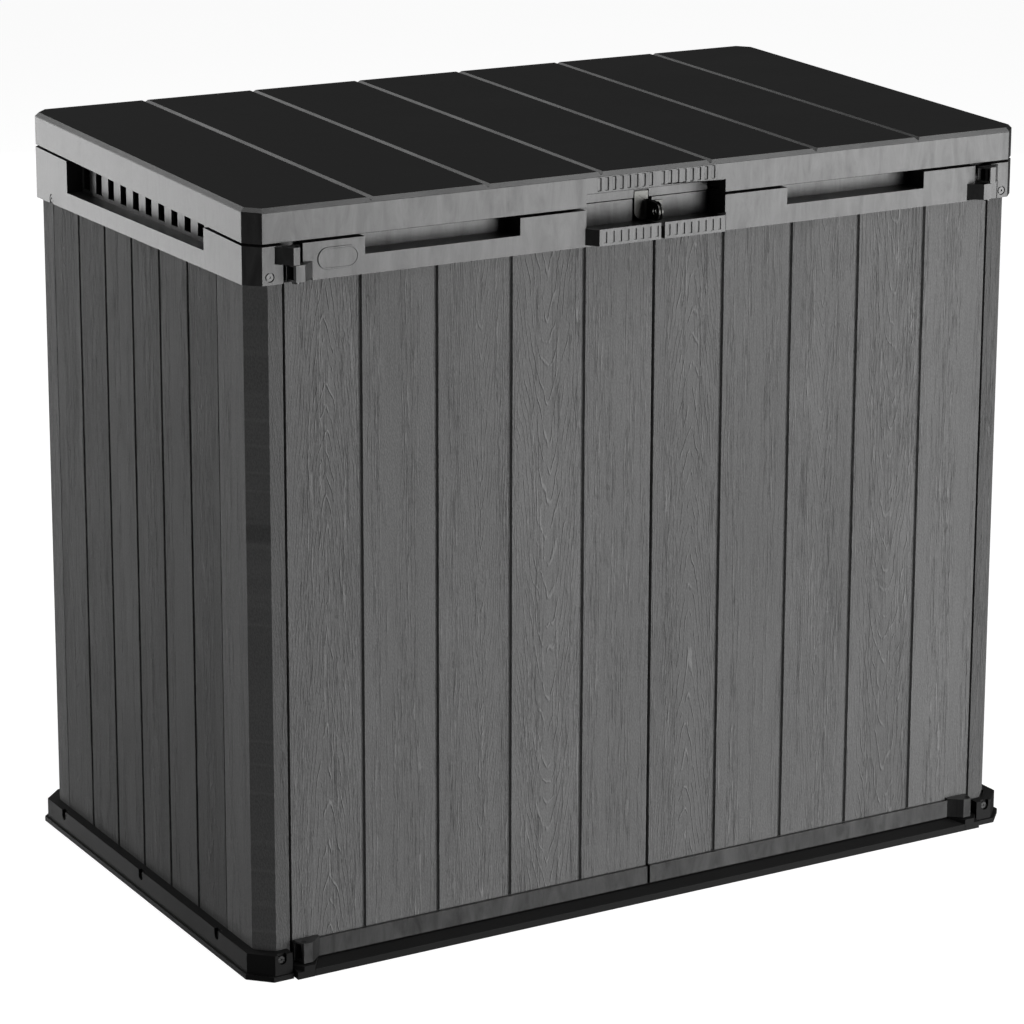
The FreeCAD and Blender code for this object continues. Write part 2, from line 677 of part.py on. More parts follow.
def side_header():
    """Upper side frame with its vent, front strip and door knuckle."""
    tall = ("header_bottom", "axis_z + 20")
    side = block("header_side", ("-trim_half", "-trim_half + header_deep"),
                 ("trim_front", "trim_back"), tall)
    front = block("header_front_strip", ("-trim_half", "-post_edge"),
                  ("trim_front", "trim_front + header_deep"), tall)
    back = block("header_back_strip", ("-trim_half", "-post_edge"),
                 ("trim_back - header_deep", "trim_back"), tall)
    outline = chamfered("header_outline", "trim_half", ("trim_front", "trim_back"),
                        "trim_chamfer", tall)
    frame = common("header_frame", fuse("header_strips", [side, front, back]), outline)
    ear = knuckle("header_knuckle", "ear_front", ("-628.5", "-618.5"),
                  ("-649", "-608"), ("upper_low", "upper_top"))
    root = block("header_knuckle_root", ("-649", "-post_edge"),
                 ("trim_front - 0.01", "trim_front + 4"), ("upper_low", "upper_top"))
    whole = fuse("header_whole", [common("header_sloped", frame, below_seam("seam_side")),
                                  ear, root])

    strip = ("-corner_screw_x", "trim_front", "strip_screw_z")
    flank = ("-trim_half", "header_screw_y", "header_screw_z")
    tools = [
        block("vent_recess", ("-trim_half - 1", "-trim_half + vent_deep"),
              ("vent_front", "vent_back"), ("vent_floor", "axis_z + 30")),
        block("strip_relief", ("-649", "-post_edge + 1"), ("trim_front - 1", "trim_front + 1"),
              ("header_bottom - 1", "upper_low")),
        knuckle_hollow("header_hollow", "ear_front", ("-626", "-605"), "upper_low",
                       "upper_top"),
        cylinder("header_bore", "bore_radius", "60", ("-pivot_x", "pivot_y", "1080"), "z"),
        cylinder("strip_recess", "7.5", "2.5", strip, "y"),
        cylinder("strip_hole", "shank_hole", "8", strip, "y"),
        cylinder("side_recess", "7", "3", flank, "x"),
        block("side_notch", ("-trim_half", "-trim_half + 3"),
              ("header_screw_y - 7", "header_screw_y + 7"),
              ("header_bottom - 1", "header_screw_z")),
        cylinder("side_hole", "shank_hole", "8", flank, "x"),
        wall_groove("side_groove"),
    ]
    for slot in range(11):
        middle = f"(vent_front + vent_back) / 2 - 1.5 + {slot - 5} * slot_pitch"
        tools.append(block(f"vent_slot_{slot}", ("-trim_half", "-trim_half + header_deep + 1"),
                           (f"{middle} - slot_width / 2", f"{middle} + slot_width / 2"),
                           ("slot_floor", "axis_z + 30")))
    left = keep(cut("left_header", whole, tools), "left_header")
    mirrored(left, "right_header")


def hinge_stations():
    """Middles of the lid hinges across the back."""
    return ("-hinge_spread", "0", "hinge_spread")


def lug(name, x, up):
    """Hinge barrel with a gusset that carries it off the back of the box."""
    barrel = cylinder(name + "_barrel", "barrel_radius", f"({x[1]}) - ({x[0]})",
                      (x[0], "axis_y", "axis_z"), "x")
    y = ("trim_back", "axis_y + barrel_radius")
    if up:
        gusset = wedge(name + "_gusset", y, x, x, ("axis_z + 3", "axis_z + 36"),
                       ("axis_z", "axis_z + 3"))
    else:
        gusset = wedge(name + "_gusset", y, x, x, ("axis_z - 40", "axis_z - 3"),
                       ("axis_z - 3", "axis_z"))
    return fuse(name, [barrel, gusset])


def rear_header():
    """Upper back frame with the fixed lugs of the lid hinges."""
    bar = block("rear_bar", ("-post_edge + joint_gap", "post_edge - joint_gap"),
                ("trim_back - header_deep", "trim_back"), ("header_bottom", "axis_z + 20"))
    sloped = common("rear_sloped", bar, below_seam("seam_rear"))
    lugs = []
    for index, middle in enumerate(hinge_stations()):
        lugs.append(lug(f"rear_lug_{index}_a", (f"{middle} - lug_outer",
                                                f"{middle} - lug_inner - lug_gap"), False))
        lugs.append(lug(f"rear_lug_{index}_b", (f"{middle} + lug_inner + lug_gap",
                                                f"{middle} + lug_outer"), False))
    whole = fuse("rear_whole", [sloped] + lugs)
    tools = [wall_groove("rear_groove")]
    for index, middle in enumerate(hinge_stations()):
        tools.append(cylinder(f"rear_bore_{index}", "bore_radius", "120",
                              (f"{middle} - 60", "axis_y", "axis_z"), "x"))
        tools.append(cylinder(f"rear_hole_{index}", "shank_hole", "8",
                              (f"{middle} + 100", "trim_back", "rear_screw_z"), "-y"))
    for cell in range(9):
        low = f"-612 + {cell} * 136 + 4"
        tools.append(block(f"rear_cell_{cell}", (low, f"{low} + 128"),
                           ("trim_back - header_deep - 1", "trim_back - 14"),
                           ("wall_top + 4", "1136")))
    keep(cut("rear_header", whole, tools), "rear_header")


# ---------------------------------------------------------------- lid


def lid_slab(name, low, high):
    """Layer between two lid-sloped planes."""
    front, back = "trim_front - 60", "trim_back + 60"
    x = ("-base_half", "base_half")
    return wedge(name, (front, back), x, x, (plane(low, front), plane(high, front)),
                 (plane(low, back), plane(high, back)))


SKIRT_LOW = "seam_front + seam_gap"
SKIRT_HIGH = "seam_front + seam_gap + lid_skirt"


def finger_grooves(name, face, z_low, z_high):
    """Two rows of short upright grooves, one each side of the middle."""
    tools = []
    for side in (-1, 1):
        for index in range(FINGER_GROOVES):
            middle = f"{side} * (finger_first + {index} * finger_pitch)"
            tools.append(block(f"{name}_{side + 1}_{index}",
                               (f"{middle} - finger_width / 2", f"{middle} + finger_width / 2"),
                               (f"{face} - 1", f"{face} + finger_deep"), (z_low, z_high)))
    return tools


def lid_skirt():
    """Frame round the lid with the latch recess, grip and hinge lugs."""
    tall = ("header_bottom + 20", "axis_z + 80")
    outer = chamfered("skirt_outer", "trim_half", ("trim_front", "trim_back"),
                      "trim_chamfer", tall)
    inner = chamfered("skirt_inner", "trim_half - skirt_wall",
                      ("trim_front + skirt_wall", "trim_back - skirt_wall"),
                      "trim_chamfer - skirt_wall * (2 - sqrt(2))", tall)
    ring = common("skirt_ring", cut("skirt_tall", outer, [inner]),
                  lid_slab("skirt_layer", SKIRT_LOW, SKIRT_HIGH))
    housing = block("latch_housing", ("-recess_half - 4", "recess_half + 4"),
                    ("trim_front", "recess_back + 4"), (f"{SKIRT_LOW} + 2", "recess_top + 4"))
    tongue = block("latch_tongue", ("-tongue_half", "tongue_half"),
                   ("recess_back", "recess_back + 4"), ("tongue_low", "recess_top"))
    grip = block("grip_pad", ("-recess_half", "recess_half"),
                 ("trim_front", "trim_front + 8"), ("recess_top", "recess_top + 20.6"))
    lugs = [lug(f"lid_lug_{index}", (f"{middle} - lug_inner", f"{middle} + lug_inner"), True)
            for index, middle in enumerate(hinge_stations())]
    backing = block("hasp_backing", ("-22", "18"), ("recess_back + 2", "recess_back + 8"),
                    ("tongue_low", "recess_top + 4"))
    whole = fuse("skirt_whole", [ring, housing, tongue, grip, backing] + lugs)

    tools = [
        block("latch_recess", ("-recess_half", "recess_half"),
              ("trim_front - 1", "recess_back"), ("header_bottom", "recess_top")),
        block("hasp_notch", ("hasp_left - 1.5", "hasp_lug + plate_thick + 1.5"),
              ("recess_back - 1", "recess_back + plate_thick"),
              ("tongue_low - 1", "hasp_top + 2")),
    ]
    for side in (-1, 1):
        tools.append(block(f"lid_recess_slot_{side + 1}",
                           sorted_pair(side, "recess_half - recess_slot", "recess_half"),
                           ("recess_back - 1", "recess_back + 5"), ("tongue_low", "recess_top")))
    tools += finger_grooves("lid_finger", "trim_front", "1149.5", "1169.5")
    for index, middle in enumerate(hinge_stations()):
        tools.append(cylinder(f"lid_bore_{index}", "bore_radius", "60",
                              (f"{middle} - 30", "axis_y", "axis_z"), "x"))
    for tag, x in HASP_SCREWS:
        tools.append(cylinder(f"hasp_hole_{tag}", "shank_hole", "10",
                              (x, "recess_back", "hasp_screw_z"), "y"))
    keep(cut("lid_skirt", whole, tools), "lid_skirt")


def lid_outline(sketch, inset):
    """Chamfered rectangle of the lid, drawn from its front edge."""
    half = f"(trim_half - ({inset}))"
    low = f"({inset})"
    high = f"(trim_back - trim_front - ({inset}))"
    corner = f"(trim_chamfer - ({inset}) * (2 - sqrt(2)))"
    polygon(sketch, [
        (f"-{half} + {corner}", low), (f"{half} - {corner}", low),
        (half, f"{low} + {corner}"), (half, f"{high} - {corner}"),
        (f"{half} - {corner}", high), (f"-{half} + {corner}", high),
        (f"-{half}", f"{high} - {corner}"), (f"-{half}", f"{low} + {corner}")])


def tilt_with_lid(item):
    """Lay an object that was drawn level on the slope of the lid."""
    angle = sheet.get("slope_angle")
    place(item, "0", "trim_front", SKIRT_HIGH, axis=Vector(1, 0, 0), angle=float(angle))


def lid_panel():
    """Seven-plank top with a bevelled edge and stiffening bars below."""
    body = new_body("lid_panel")
    plate = new_sketch(body, "lid_plate", "XY_Plane")
    lid_outline(plate, "0")
    plate_pad = pad(body, plate, "panel_rise")
    rise = sheet.get("panel_rise")
    top_edges = [f"Edge{number}" for number, edge in enumerate(plate_pad.Shape.Edges, start=1)
                 if all(abs(vertex.Z - rise) < 1e-6 for vertex in edge.Vertexes)]
    bevel = body.newObject("PartDesign::Chamfer", "lid_bevel")
    bevel.Base = (plate_pad, top_edges)
    bind(bevel, Size="bevel")
    body.Tip = bevel
    doc.recompute()

    plug = new_sketch(body, "lid_plug", "XY_Plane")
    lid_outline(plug, "skirt_wall + 0.3")
    pad(body, plug, "5", downward=True)
    hollow = new_sketch(body, "lid_hollow", "XY_Plane", "-5")
    rectangle(hollow, ("-3.5 * lid_pitch + 18", "-2.5 * lid_pitch - 18"),
              ("34", "trim_back - trim_front - 34"))
    cells = pocket(body, hollow, "7", along_normal=True)
    repeat(body, cells, "X_Axis", "6 * lid_pitch", 7)

    groove = new_sketch(body, "lid_groove", "XZ_Plane", "10")
    middle = "-2.5 * lid_pitch"
    polygon(groove, [(f"{middle} - 5.2", "panel_rise"), (f"{middle} + 5.2", "panel_rise"),
                     (f"{middle} + 1.2", "2"), (f"{middle} - 1.2", "2")])
    channel = pocket(body, groove, "trim_back - trim_front + 20")
    repeat(body, channel, "X_Axis", "5 * lid_pitch", 6)

    drill = new_sketch(body, "lid_drill", "XY_Plane", "-5")
    for x, y in LINER_SCREWS:
        circle(drill, x, y, "shank_hole")
    body.Tip = pocket(body, drill, "4", along_normal=True)
    tilt_with_lid(body)
    keep(body, "lid_panel")


def lid_liner():
    """Ribbed inner moulding that stiffens the lid from below."""
    body = new_body("lid_liner")
    flange = new_sketch(body, "liner_flange", "XY_Plane", "-5")
    rectangle(flange, ("-674", "674"), ("60", "trim_back - trim_front - 12"))
    pad(body, flange, "3", downward=True)
    grid = new_sketch(body, "liner_grid", "XY_Plane", "-8")
    rectangle(grid, ("-616", "616"), ("78", "trim_back - trim_front - 44"))
    pad(body, grid, "liner_deep - 3", downward=True)
    cell = new_sketch(body, "liner_cell", "XY_Plane", "-5 - liner_deep")
    depth = "((trim_back - trim_front - 122) / 5)"
    for row in range(5):
        low = f"78 + {row} * {depth}"
        rectangle(cell, ("-613", "-613 + 132.5"), (f"{low} + 3", f"{low} + {depth} - 3"))
    cells = pocket(body, cell, "liner_deep - 3", along_normal=True)
    repeat(body, cells, "X_Axis", "8 * 136.6875", 9)
    drill = new_sketch(body, "liner_drill", "XY_Plane", "-8")
    for x, y in LINER_SCREWS:
        circle(drill, x, y, "shank_hole")
    body.Tip = pocket(body, drill, "3", along_normal=True)
    tilt_with_lid(body)
    keep(body, "lid_liner")


def liner_screws():
    """Screws through the liner's flange into the lid panel's bars."""
    screws = [face_screw(f"liner_screw_{index}", (x, y, "-8"), "z", "6", "0")
              for index, (x, y) in enumerate(LINER_SCREWS)]
    item = group("lid_liner_screws", screws)
    tilt_with_lid(item)
    keep(item, "lid_liner_screws")


def latch_lug(name, x, back):
    """Flat lug with a rounded end that stands out towards the front."""
    low, high = "lug_z - lug_radius", "lug_z + lug_radius"
    stem = block(name + "_stem", (x, f"{x} + plate_thick"), ("lug_reach", back), (low, high))
    end = cylinder(name + "_end", "lug_radius", "plate_thick", (x, "lug_reach", "lug_z"), "x")
    return [stem, end]


def padlock_hole(name, x):
    """Hole for the padlock's shackle through one lug."""
    return cylinder(name, "lock_hole", "plate_thick + 2",
                    (f"{x} - 1", "lug_reach", "lug_z"), "x")


def lid_hasp():
    """Steel plate that hangs from the lid, turned forward into a padlock lug."""
    back = "hasp_front + plate_thick"
    corner = "12"
    upper = block("hasp_upper", ("hasp_left", "hasp_lug + plate_thick"),
                  ("hasp_front", back), ("lug_z + lug_radius", "hasp_top"))
    left = block("hasp_left_side", ("hasp_left", f"hasp_left + {corner}"),
                 ("hasp_front", back), (f"hasp_low + {corner}", "hasp_top"))
    middle = block("hasp_middle", (f"hasp_left + {corner}", "hasp_lug + plate_thick"),
                   ("hasp_front", back), ("hasp_low", "hasp_top"))
    round_corner = cylinder("hasp_corner", corner, "plate_thick",
                            (f"hasp_left + {corner}", "hasp_front", f"hasp_low + {corner}"),
                            "y")
    parts = [upper, left, middle, round_corner] + latch_lug("hasp_lug", "hasp_lug", back)
    whole = fuse("hasp_whole", parts)
    holes = [padlock_hole("hasp_lock_hole", "hasp_lug")]
    for tag, x in HASP_SCREWS:
        holes.append(cylinder(f"hasp_screw_hole_{tag}", "shank_hole", "2.5",
                              (x, "hasp_front + 0.8", "hasp_screw_z"), "y"))
    keep(cut("lid_hasp", whole, holes), "lid_hasp")


def hasp_screws():
    """Screws that hold the hasp to its backing from inside the lid."""
    screws = [face_screw(f"hasp_screw_{tag}", (x, "recess_back + 8", "hasp_screw_z"),
                         "-y", "7", "0")
              for tag, x in HASP_SCREWS]
    keep(group("hasp_screws", screws), "hasp_screws")


def strut_lid_brackets():
    """Slotted plates under the lid that take the upper strut studs."""
    parts = []
    y = ("strut_top_y - 22", "strut_top_y + slot_travel + 22")
    under = f"{SKIRT_HIGH} - 8.1"
    for side in (-1, 1):
        tag = side + 1
        x_plate = sorted_pair(side, "650", "654")
        plate = wedge(f"lid_bracket_plate_{tag}", y, x_plate, x_plate,
                      ("strut_top_z - 15", plane(under, y[0])),
                      ("strut_top_z - 15", plane(under, y[1])))
        x_foot = sorted_pair(side, "632", "654")
        foot = wedge(f"lid_bracket_foot_{tag}", y, x_foot, x_foot,
                     (f"{plane(under, y[0])} - 3", plane(under, y[0])),
                     (f"{plane(under, y[1])} - 3", plane(under, y[1])))
        x_slot = sorted_pair(side, "649", "655")
        slot = block(f"lid_bracket_slot_{tag}", x_slot,
                     ("strut_top_y", "strut_top_y + slot_travel"),
                     ("slot_z - slot_half", "slot_z + slot_half"))
        ends = [cylinder(f"lid_bracket_end_{tag}_{index}", "slot_half", "6",
                         (x_slot[0], end, "slot_z"), "x")
                for index, end in enumerate(("strut_top_y", "strut_top_y + slot_travel"))]
        parts.append(cut(f"lid_bracket_{tag}", fuse(f"lid_bracket_body_{tag}", [plate, foot]),
                         [slot] + ends))
    keep(group("strut_lid_brackets", parts), "strut_lid_brackets")


# ---------------------------------------------------------------- doors


def door_panels():
    """Five-plank door panels."""
    height = "(top_rail_low - sill_rail_top)"
    panel = plank_panel("left_door_panel", "door_edge - door_gap", height,
                        "door_pitch", 5, 7)
    for name, level, downward in (("top_tongue", height, False), ("foot_tongue", "0", True)):
        sketch = new_sketch(panel, name, "XY_Plane", level)
        rectangle(sketch, ("door_edge - tongue_end", "door_edge - 5"), ("0", "wall_thick"))
        panel.Tip = pad(panel, sketch, "tongue", downward)
    place(panel, "-door_edge", "wall_front", "sill_rail_top")
    holes = []
    for index, x in enumerate(door_screw_places()):
        holes.append(cylinder(f"panel_top_hole_{index}", "shank_hole", "14",
                              (x, "wall_front - 1", "top_rail_low + tongue / 2"), "y"))
        holes.append(cylinder(f"panel_foot_hole_{index}", "shank_hole", "14",
                              (x, "wall_front - 1", "sill_rail_top - tongue / 2"), "y"))
    left = keep(cut("left_door_panel", panel, holes), "left_door_panel")
    mirrored(left, "right_door_panel")


def top_rails():
    """Door top rails with notch, handle ledge and upper knuckle."""
    z = ("top_rail_low", "top_rail_top")
    bar = block("rail_bar", ("-rail_end", "-door_gap"), ("trim_front", "rail_back"), z)
    cap = block("rail_cap", ("-door_edge", "-rail_end"), ("sill_rail_back", "rail_back"), z)
    knuckle_block = knuckle("rail_knuckle", "knuckle_front", ("-623.2", "-608.8"),
                            ("-629", "-step_end"), ("lower_low", "lower_top"))
    root = block("rail_knuckle_root", ("-door_edge", "-step_end"),
                 ("trim_front", "sill_rail_back"), ("lower_low", "lower_top"))
    ledge = wedge("rail_ledge", ("ledge_front", "trim_front"), ("-113", "-door_gap - 1"),
                  ("-127", "-door_gap"), ("ledge_low", "ledge_top"), ("ledge_low", "ledge_top"))
    whole = fuse("rail_whole", [bar, cap, knuckle_block, root, ledge])

    above = "top_rail_top + 10"
    tools = [
        block("rail_step", ("-rail_end - 1", "-step_end"), ("trim_front - 1", "trim_front + 12"),
              ("top_rail_low - 1", "lower_low")),
        block("rail_notch", ("-notch_far", "-notch_near"), ("trim_front - 1", "notch_back"),
              ("notch_floor", above)),
        block("rail_recess", ("-recess_half", "0"), ("trim_front", "recess_back"),
              ("ledge_floor", above)),
        block("rail_recess_slot", ("-recess_half", "-recess_half + recess_slot"),
              ("recess_back - 1", "rail_back + 1"), ("ledge_floor", above)),
        block("ledge_tray", ("-110", "0"), ("ledge_front + 3", "trim_front + 1"),
              ("ledge_floor", above)),
        block("rail_hasp_gap", ("-17.5", "0"), ("recess_back", "rail_back + 1"),
              ("top_rail_low - 1", above)),
        knuckle_hollow("rail_hollow", "knuckle_front", ("-630", "-611"), "lower_low",
                       "lower_top"),
        cylinder("rail_bore", "bore_radius", "60", ("-pivot_x", "pivot_y", "1050"), "z"),
    ]
    for side_groove in finger_grooves("ledge_finger", "ledge_front", "1073", "1090.5"):
        tools.append(side_groove)
    for cell in range(5):
        low = f"-576 + {cell} * 112"
        tools.append(block(f"rail_cell_{cell}", (low, f"{low} + 96"),
                           ("trim_front + 4", "rail_back + 1"),
                           ("top_rail_low + 4", "ledge_floor - 4")))
    tools.append(block("rail_tongue_slot", ("-tongue_end", "-5"),
                       ("wall_front", "wall_front + wall_thick"),
                       ("top_rail_low - 1", "top_rail_low + tongue")))
    for index, x in enumerate(door_screw_places()):
        tools.append(cylinder(f"rail_hole_{index}", "shank_hole", "46",
                              (x, "rail_back", "top_rail_low + tongue / 2"), "-y"))
    left = keep(cut("left_door_top_rail", whole, tools), "left_door_top_rail")

    right = doc.addObject("Part::Mirroring", "right_rail_blank")
    right.Source = left
    right.Normal = Vector(1, 0, 0)
    holes = [cylinder(f"rail_staple_hole_{index}", "shank_hole", "8",
                      ("staple_screw_x", "recess_back - 1", z), "y")
             for index, z in enumerate(staple_screw_levels())]
    keep(cut("right_door_top_rail", right, holes), "right_door_top_rail")


def staple_screw_levels():
    """Heights of the two staple screws."""
    return ("lug_z - 7", "lug_z + 5")


def door_screw_places():
    """Screws between the hollows along the left door's rails."""
    return ("-580", "-472", "-360", "-248", "-136", "-14")


def bottom_rails():
    """Door bottom rails with the lower knuckle."""
    bar = block("sill_bar", ("-step_end", "-door_gap"), ("trim_front", "sill_rail_back"),
                ("door_low", "sill_rail_top"))
    knuckle_block = knuckle("sill_knuckle", "knuckle_front", ("-623.2", "-608.8"),
                            ("-629", "-step_end"), ("foot_low", "foot_top"))
    root = block("sill_knuckle_root", ("-door_edge", "-step_end"),
                 ("trim_front", "sill_rail_back"), ("foot_low", "sill_rail_top"))
    brow = block("sill_knuckle_brow", ("-629", "-step_end"), ("trim_front", "wall_front"),
                 ("foot_low", "foot_top"))
    whole = fuse("sill_whole", [bar, knuckle_block, root, brow])
    tools = [
        knuckle_hollow("sill_hollow", "knuckle_front", ("-630", "-611"), "foot_low",
                       "foot_top"),
        cylinder("sill_bore", "bore_radius", "60", ("-pivot_x", "pivot_y", "10"), "z"),
        block("sill_tongue_slot", ("-tongue_end", "-5"), ("wall_front", "sill_rail_back + 1"),
              ("sill_rail_top - tongue", "sill_rail_top + 1")),
    ]
    for index, x in enumerate(door_screw_places()):
        tools.append(cylinder(f"sill_hole_{index}", "shank_hole", "5",
                              (x, "wall_front + 1", "sill_rail_top - tongue / 2"), "-y"))
    left = keep(cut("left_door_bottom_rail", whole, tools), "left_door_bottom_rail")
    mirrored(left, "right_door_bottom_rail")


def door_screws():
    """Screws that hold the rails to each door."""
    screws = []
    for index, x in enumerate(door_screw_places()):
        screws.append(face_screw(f"rail_screw_{index}",
                                 (x, "rail_back", "top_rail_low + tongue / 2"), "-y",
                                 "40", "0"))
        screws.append(face_screw(f"sill_screw_{index}",
                                 (x, "sill_rail_back", "sill_rail_top - tongue / 2"), "-y",
                                 "14", "0"))
    left = keep(group("left_door_screws", screws), "left_door_screws")
    mirrored(left, "right_door_screws")


def oval(name, radius, y):
    """Upright oval slab between two depths, two round ends and a middle."""
    straight = block(name + "_middle", ("-563", "-529"), y,
                     (f"1095.5 - {radius}", f"1095.5 + {radius}"))
    ends = [cylinder(f"{name}_end_{index}", radius, f"({y[1]}) - ({y[0]})",
                     (x, y[0], "1095.5"), "y")
            for index, x in enumerate(("-563", "-529"))]
    return fuse(name, [straight] + ends)


def door_badge():
    """Plain oval badge with a raised rim on the left door's top rail."""
    plate = oval("badge_plate", "16.5", ("trim_front - 1.6", "trim_front"))
    field = oval("badge_field", "13.8", ("trim_front - 3", "trim_front - 0.9"))
    keep(cut("left_door_badge", plate, [field]), "left_door_badge")


def door_staple():
    """Steel lug on the right door that stands beside the hasp's lug."""
    back = "recess_back"
    low, high = "lug_z - lug_radius", "lug_z + lug_radius - 2"
    plate = block("staple_plate", ("staple_lug", "36"), ("recess_back - plate_thick", back),
                  (low, high))
    whole = fuse("staple_whole", [plate] + latch_lug("staple_lug_part", "staple_lug", back))
    holes = [padlock_hole("staple_lock_hole", "staple_lug")]
    for index, z in enumerate(staple_screw_levels()):
        holes.append(cylinder(f"staple_hole_{index}", "shank_hole", "10",
                              ("staple_screw_x", "recess_back - 5", z), "y"))
    keep(cut("door_staple", whole, holes), "door_staple")


def staple_screws():
    """Screws that hold the staple to the right door."""
    screws = [face_screw(f"staple_screw_{index}",
                         ("staple_screw_x", "recess_back - plate_thick", z), "y", "7.5", "0")
              for index, z in enumerate(staple_screw_levels())]
    keep(group("staple_screws", screws), "staple_screws")


# ---------------------------------------------------------------- pins and screws


def door_hinge_pins():
    """Four upright pins that carry the doors."""
    pins = []
    for side in (-1, 1):
        x = f"{side} * pivot_x"
        tag = side + 1
        shaft = cylinder(f"top_pin_shaft_{tag}", "pin_radius", "upper_top - lower_low",
                         (x, "pivot_y", "lower_low - 1"), "z")
        head = cylinder(f"top_pin_head_{tag}", "6", "1.8",
                        (x, "pivot_y", "lower_low - 0.5"), "-z")
        pins.append(fuse(f"top_pin_{tag}", [shaft, head]))
        pins.append(cylinder(f"foot_pin_{tag}", "pin_radius", "foot_top - 6.5",
                             (x, "pivot_y", "6"), "z"))
    keep(group("door_hinge_pins", pins), "door_hinge_pins")


def lid_hinge_pins():
    """Headed pins through the lid hinges."""
    pins = []
    for index, middle in enumerate(hinge_stations()):
        shaft = cylinder(f"lid_pin_shaft_{index}", "pin_radius", "2 * lug_outer + 4",
                         (f"{middle} - lug_outer - 2", "axis_y", "axis_z"), "x")
        heads = [cylinder(f"lid_pin_head_{index}_{end + 1}", "6", "2",
                          (f"{middle} + {end} * (lug_outer + 0.3)", "axis_y", "axis_z"),
                          "x" if end > 0 else "-x")
                 for end in (-1, 1)]
        pins.append(fuse(f"lid_pin_{index}", [shaft] + heads))
    keep(group("lid_hinge_pins", pins), "lid_hinge_pins")


def face_screw(name, point, direction, shank, recess):
    """Pan-head screw driven into an outer face, its head in a recess."""
    inward = DIRECTIONS[direction]
    seat = [f"{p} + {c} * ({recess})" for p, c in zip(point, inward)]
    top = [f"{p} + {c} * (({recess}) - head_height)" for p, c in zip(point, inward)]
    head = cylinder(name + "_head", "head_radius", "head_height", top, direction)
    shaft = cylinder(name + "_shank", "shank_radius", shank, seat, direction)
    socket = cylinder(name + "_socket", "1.8", "1.4", top, direction)
    return cut(name, fuse(name + "_body", [head, shaft]), [socket])


def header_screws():
    """Screws that hold the headers to the posts and the rear wall."""
    screws = []
    for side in (-1, 1):
        inward = "x" if side < 0 else "-x"
        strip = (f"{side} * corner_screw_x", "trim_front", "strip_screw_z")
        flank = (f"{side} * trim_half", "header_screw_y", "header_screw_z")
        screws.append(face_screw(f"strip_screw_{side + 1}", strip, "y", "11", "2.5"))
        screws.append(face_screw(f"header_side_screw_{side + 1}", flank, inward, "8", "3"))
    for index, middle in enumerate(hinge_stations()):
        rear = (f"{middle} + 100", "trim_back", "rear_screw_z")
        screws.append(face_screw(f"header_rear_screw_{index}", rear, "-y", "13", "0"))
    keep(group("header_screws", screws), "header_screws")


def base_screws():
    """Screws in the notches of the base rim."""
    screws = [face_screw(f"base_screw_{index}", (x, y, "base_screw_z"), direction, "16", "6")
              for index, (x, y, direction) in enumerate(base_screw_places())]
    keep(group("base_screws", screws), "base_screws")


# ---------------------------------------------------------------- struts


def strut_wall_brackets():
    """Plates with a stud on the rear posts that carry the struts."""
    parts = []
    for side in (-1, 1):
        tag = side + 1
        outward = "x" if side > 0 else "-x"
        plate = block(f"wall_bracket_plate_{tag}",
                      sorted_pair(side, "wall_half - wall_thick - 3", "wall_half - wall_thick"),
                      ("strut_base_y - 11", "strut_base_y + 11"),
                      ("strut_base_z - 24", "strut_base_z + 24"))
        collar = cylinder(f"wall_bracket_collar_{tag}", "9", "24",
                          (f"{side} * (strut_x + 7)", "strut_base_y", "strut_base_z"), outward)
        stud = cylinder(f"wall_bracket_stud_{tag}", "stud_radius", "38",
                        (f"{side} * (strut_x - 8)", "strut_base_y", "strut_base_z"), outward)
        head = cylinder(f"wall_bracket_head_{tag}", "6.5", "2.5",
                        (f"{side} * (strut_x - 9.5)", "strut_base_y", "strut_base_z"), outward)
        body = fuse(f"wall_bracket_body_{tag}", [plate, collar, stud, head])
        holes = [cylinder(f"wall_bracket_hole_{tag}_{index}", "shank_hole", "8",
                          (f"{side} * (wall_half - wall_thick - 5)", "strut_base_y", z),
                          outward)
                 for index, z in enumerate(BRACKET_SCREWS)]
        parts.append(cut(f"wall_bracket_{tag}", body, holes))
    keep(group("strut_wall_brackets", parts), "strut_wall_brackets")


def strut_bracket_screws():
    """Screws of the wall brackets."""
    screws = []
    for side in (-1, 1):
        outward = "x" if side > 0 else "-x"
        for index, z in enumerate(BRACKET_SCREWS):
            point = (f"{side} * (wall_half - wall_thick - 3)", "strut_base_y", z)
            screws.append(face_screw(f"bracket_screw_{side + 1}_{index}", point, outward,
                                     "9", "0"))
    keep(group("strut_bracket_screws", screws), "strut_bracket_screws")


def strut_part(item, label):
    """Lay an upright strut piece along the closed left strut."""
    lean = float(sheet.get("strut_tilt"))
    place(item, "-strut_x", "strut_base_y", "strut_base_z", axis=Vector(1, 0, 0), angle=lean)
    left = keep(item, "left_" + label)
    mirrored(left, "right_" + label)


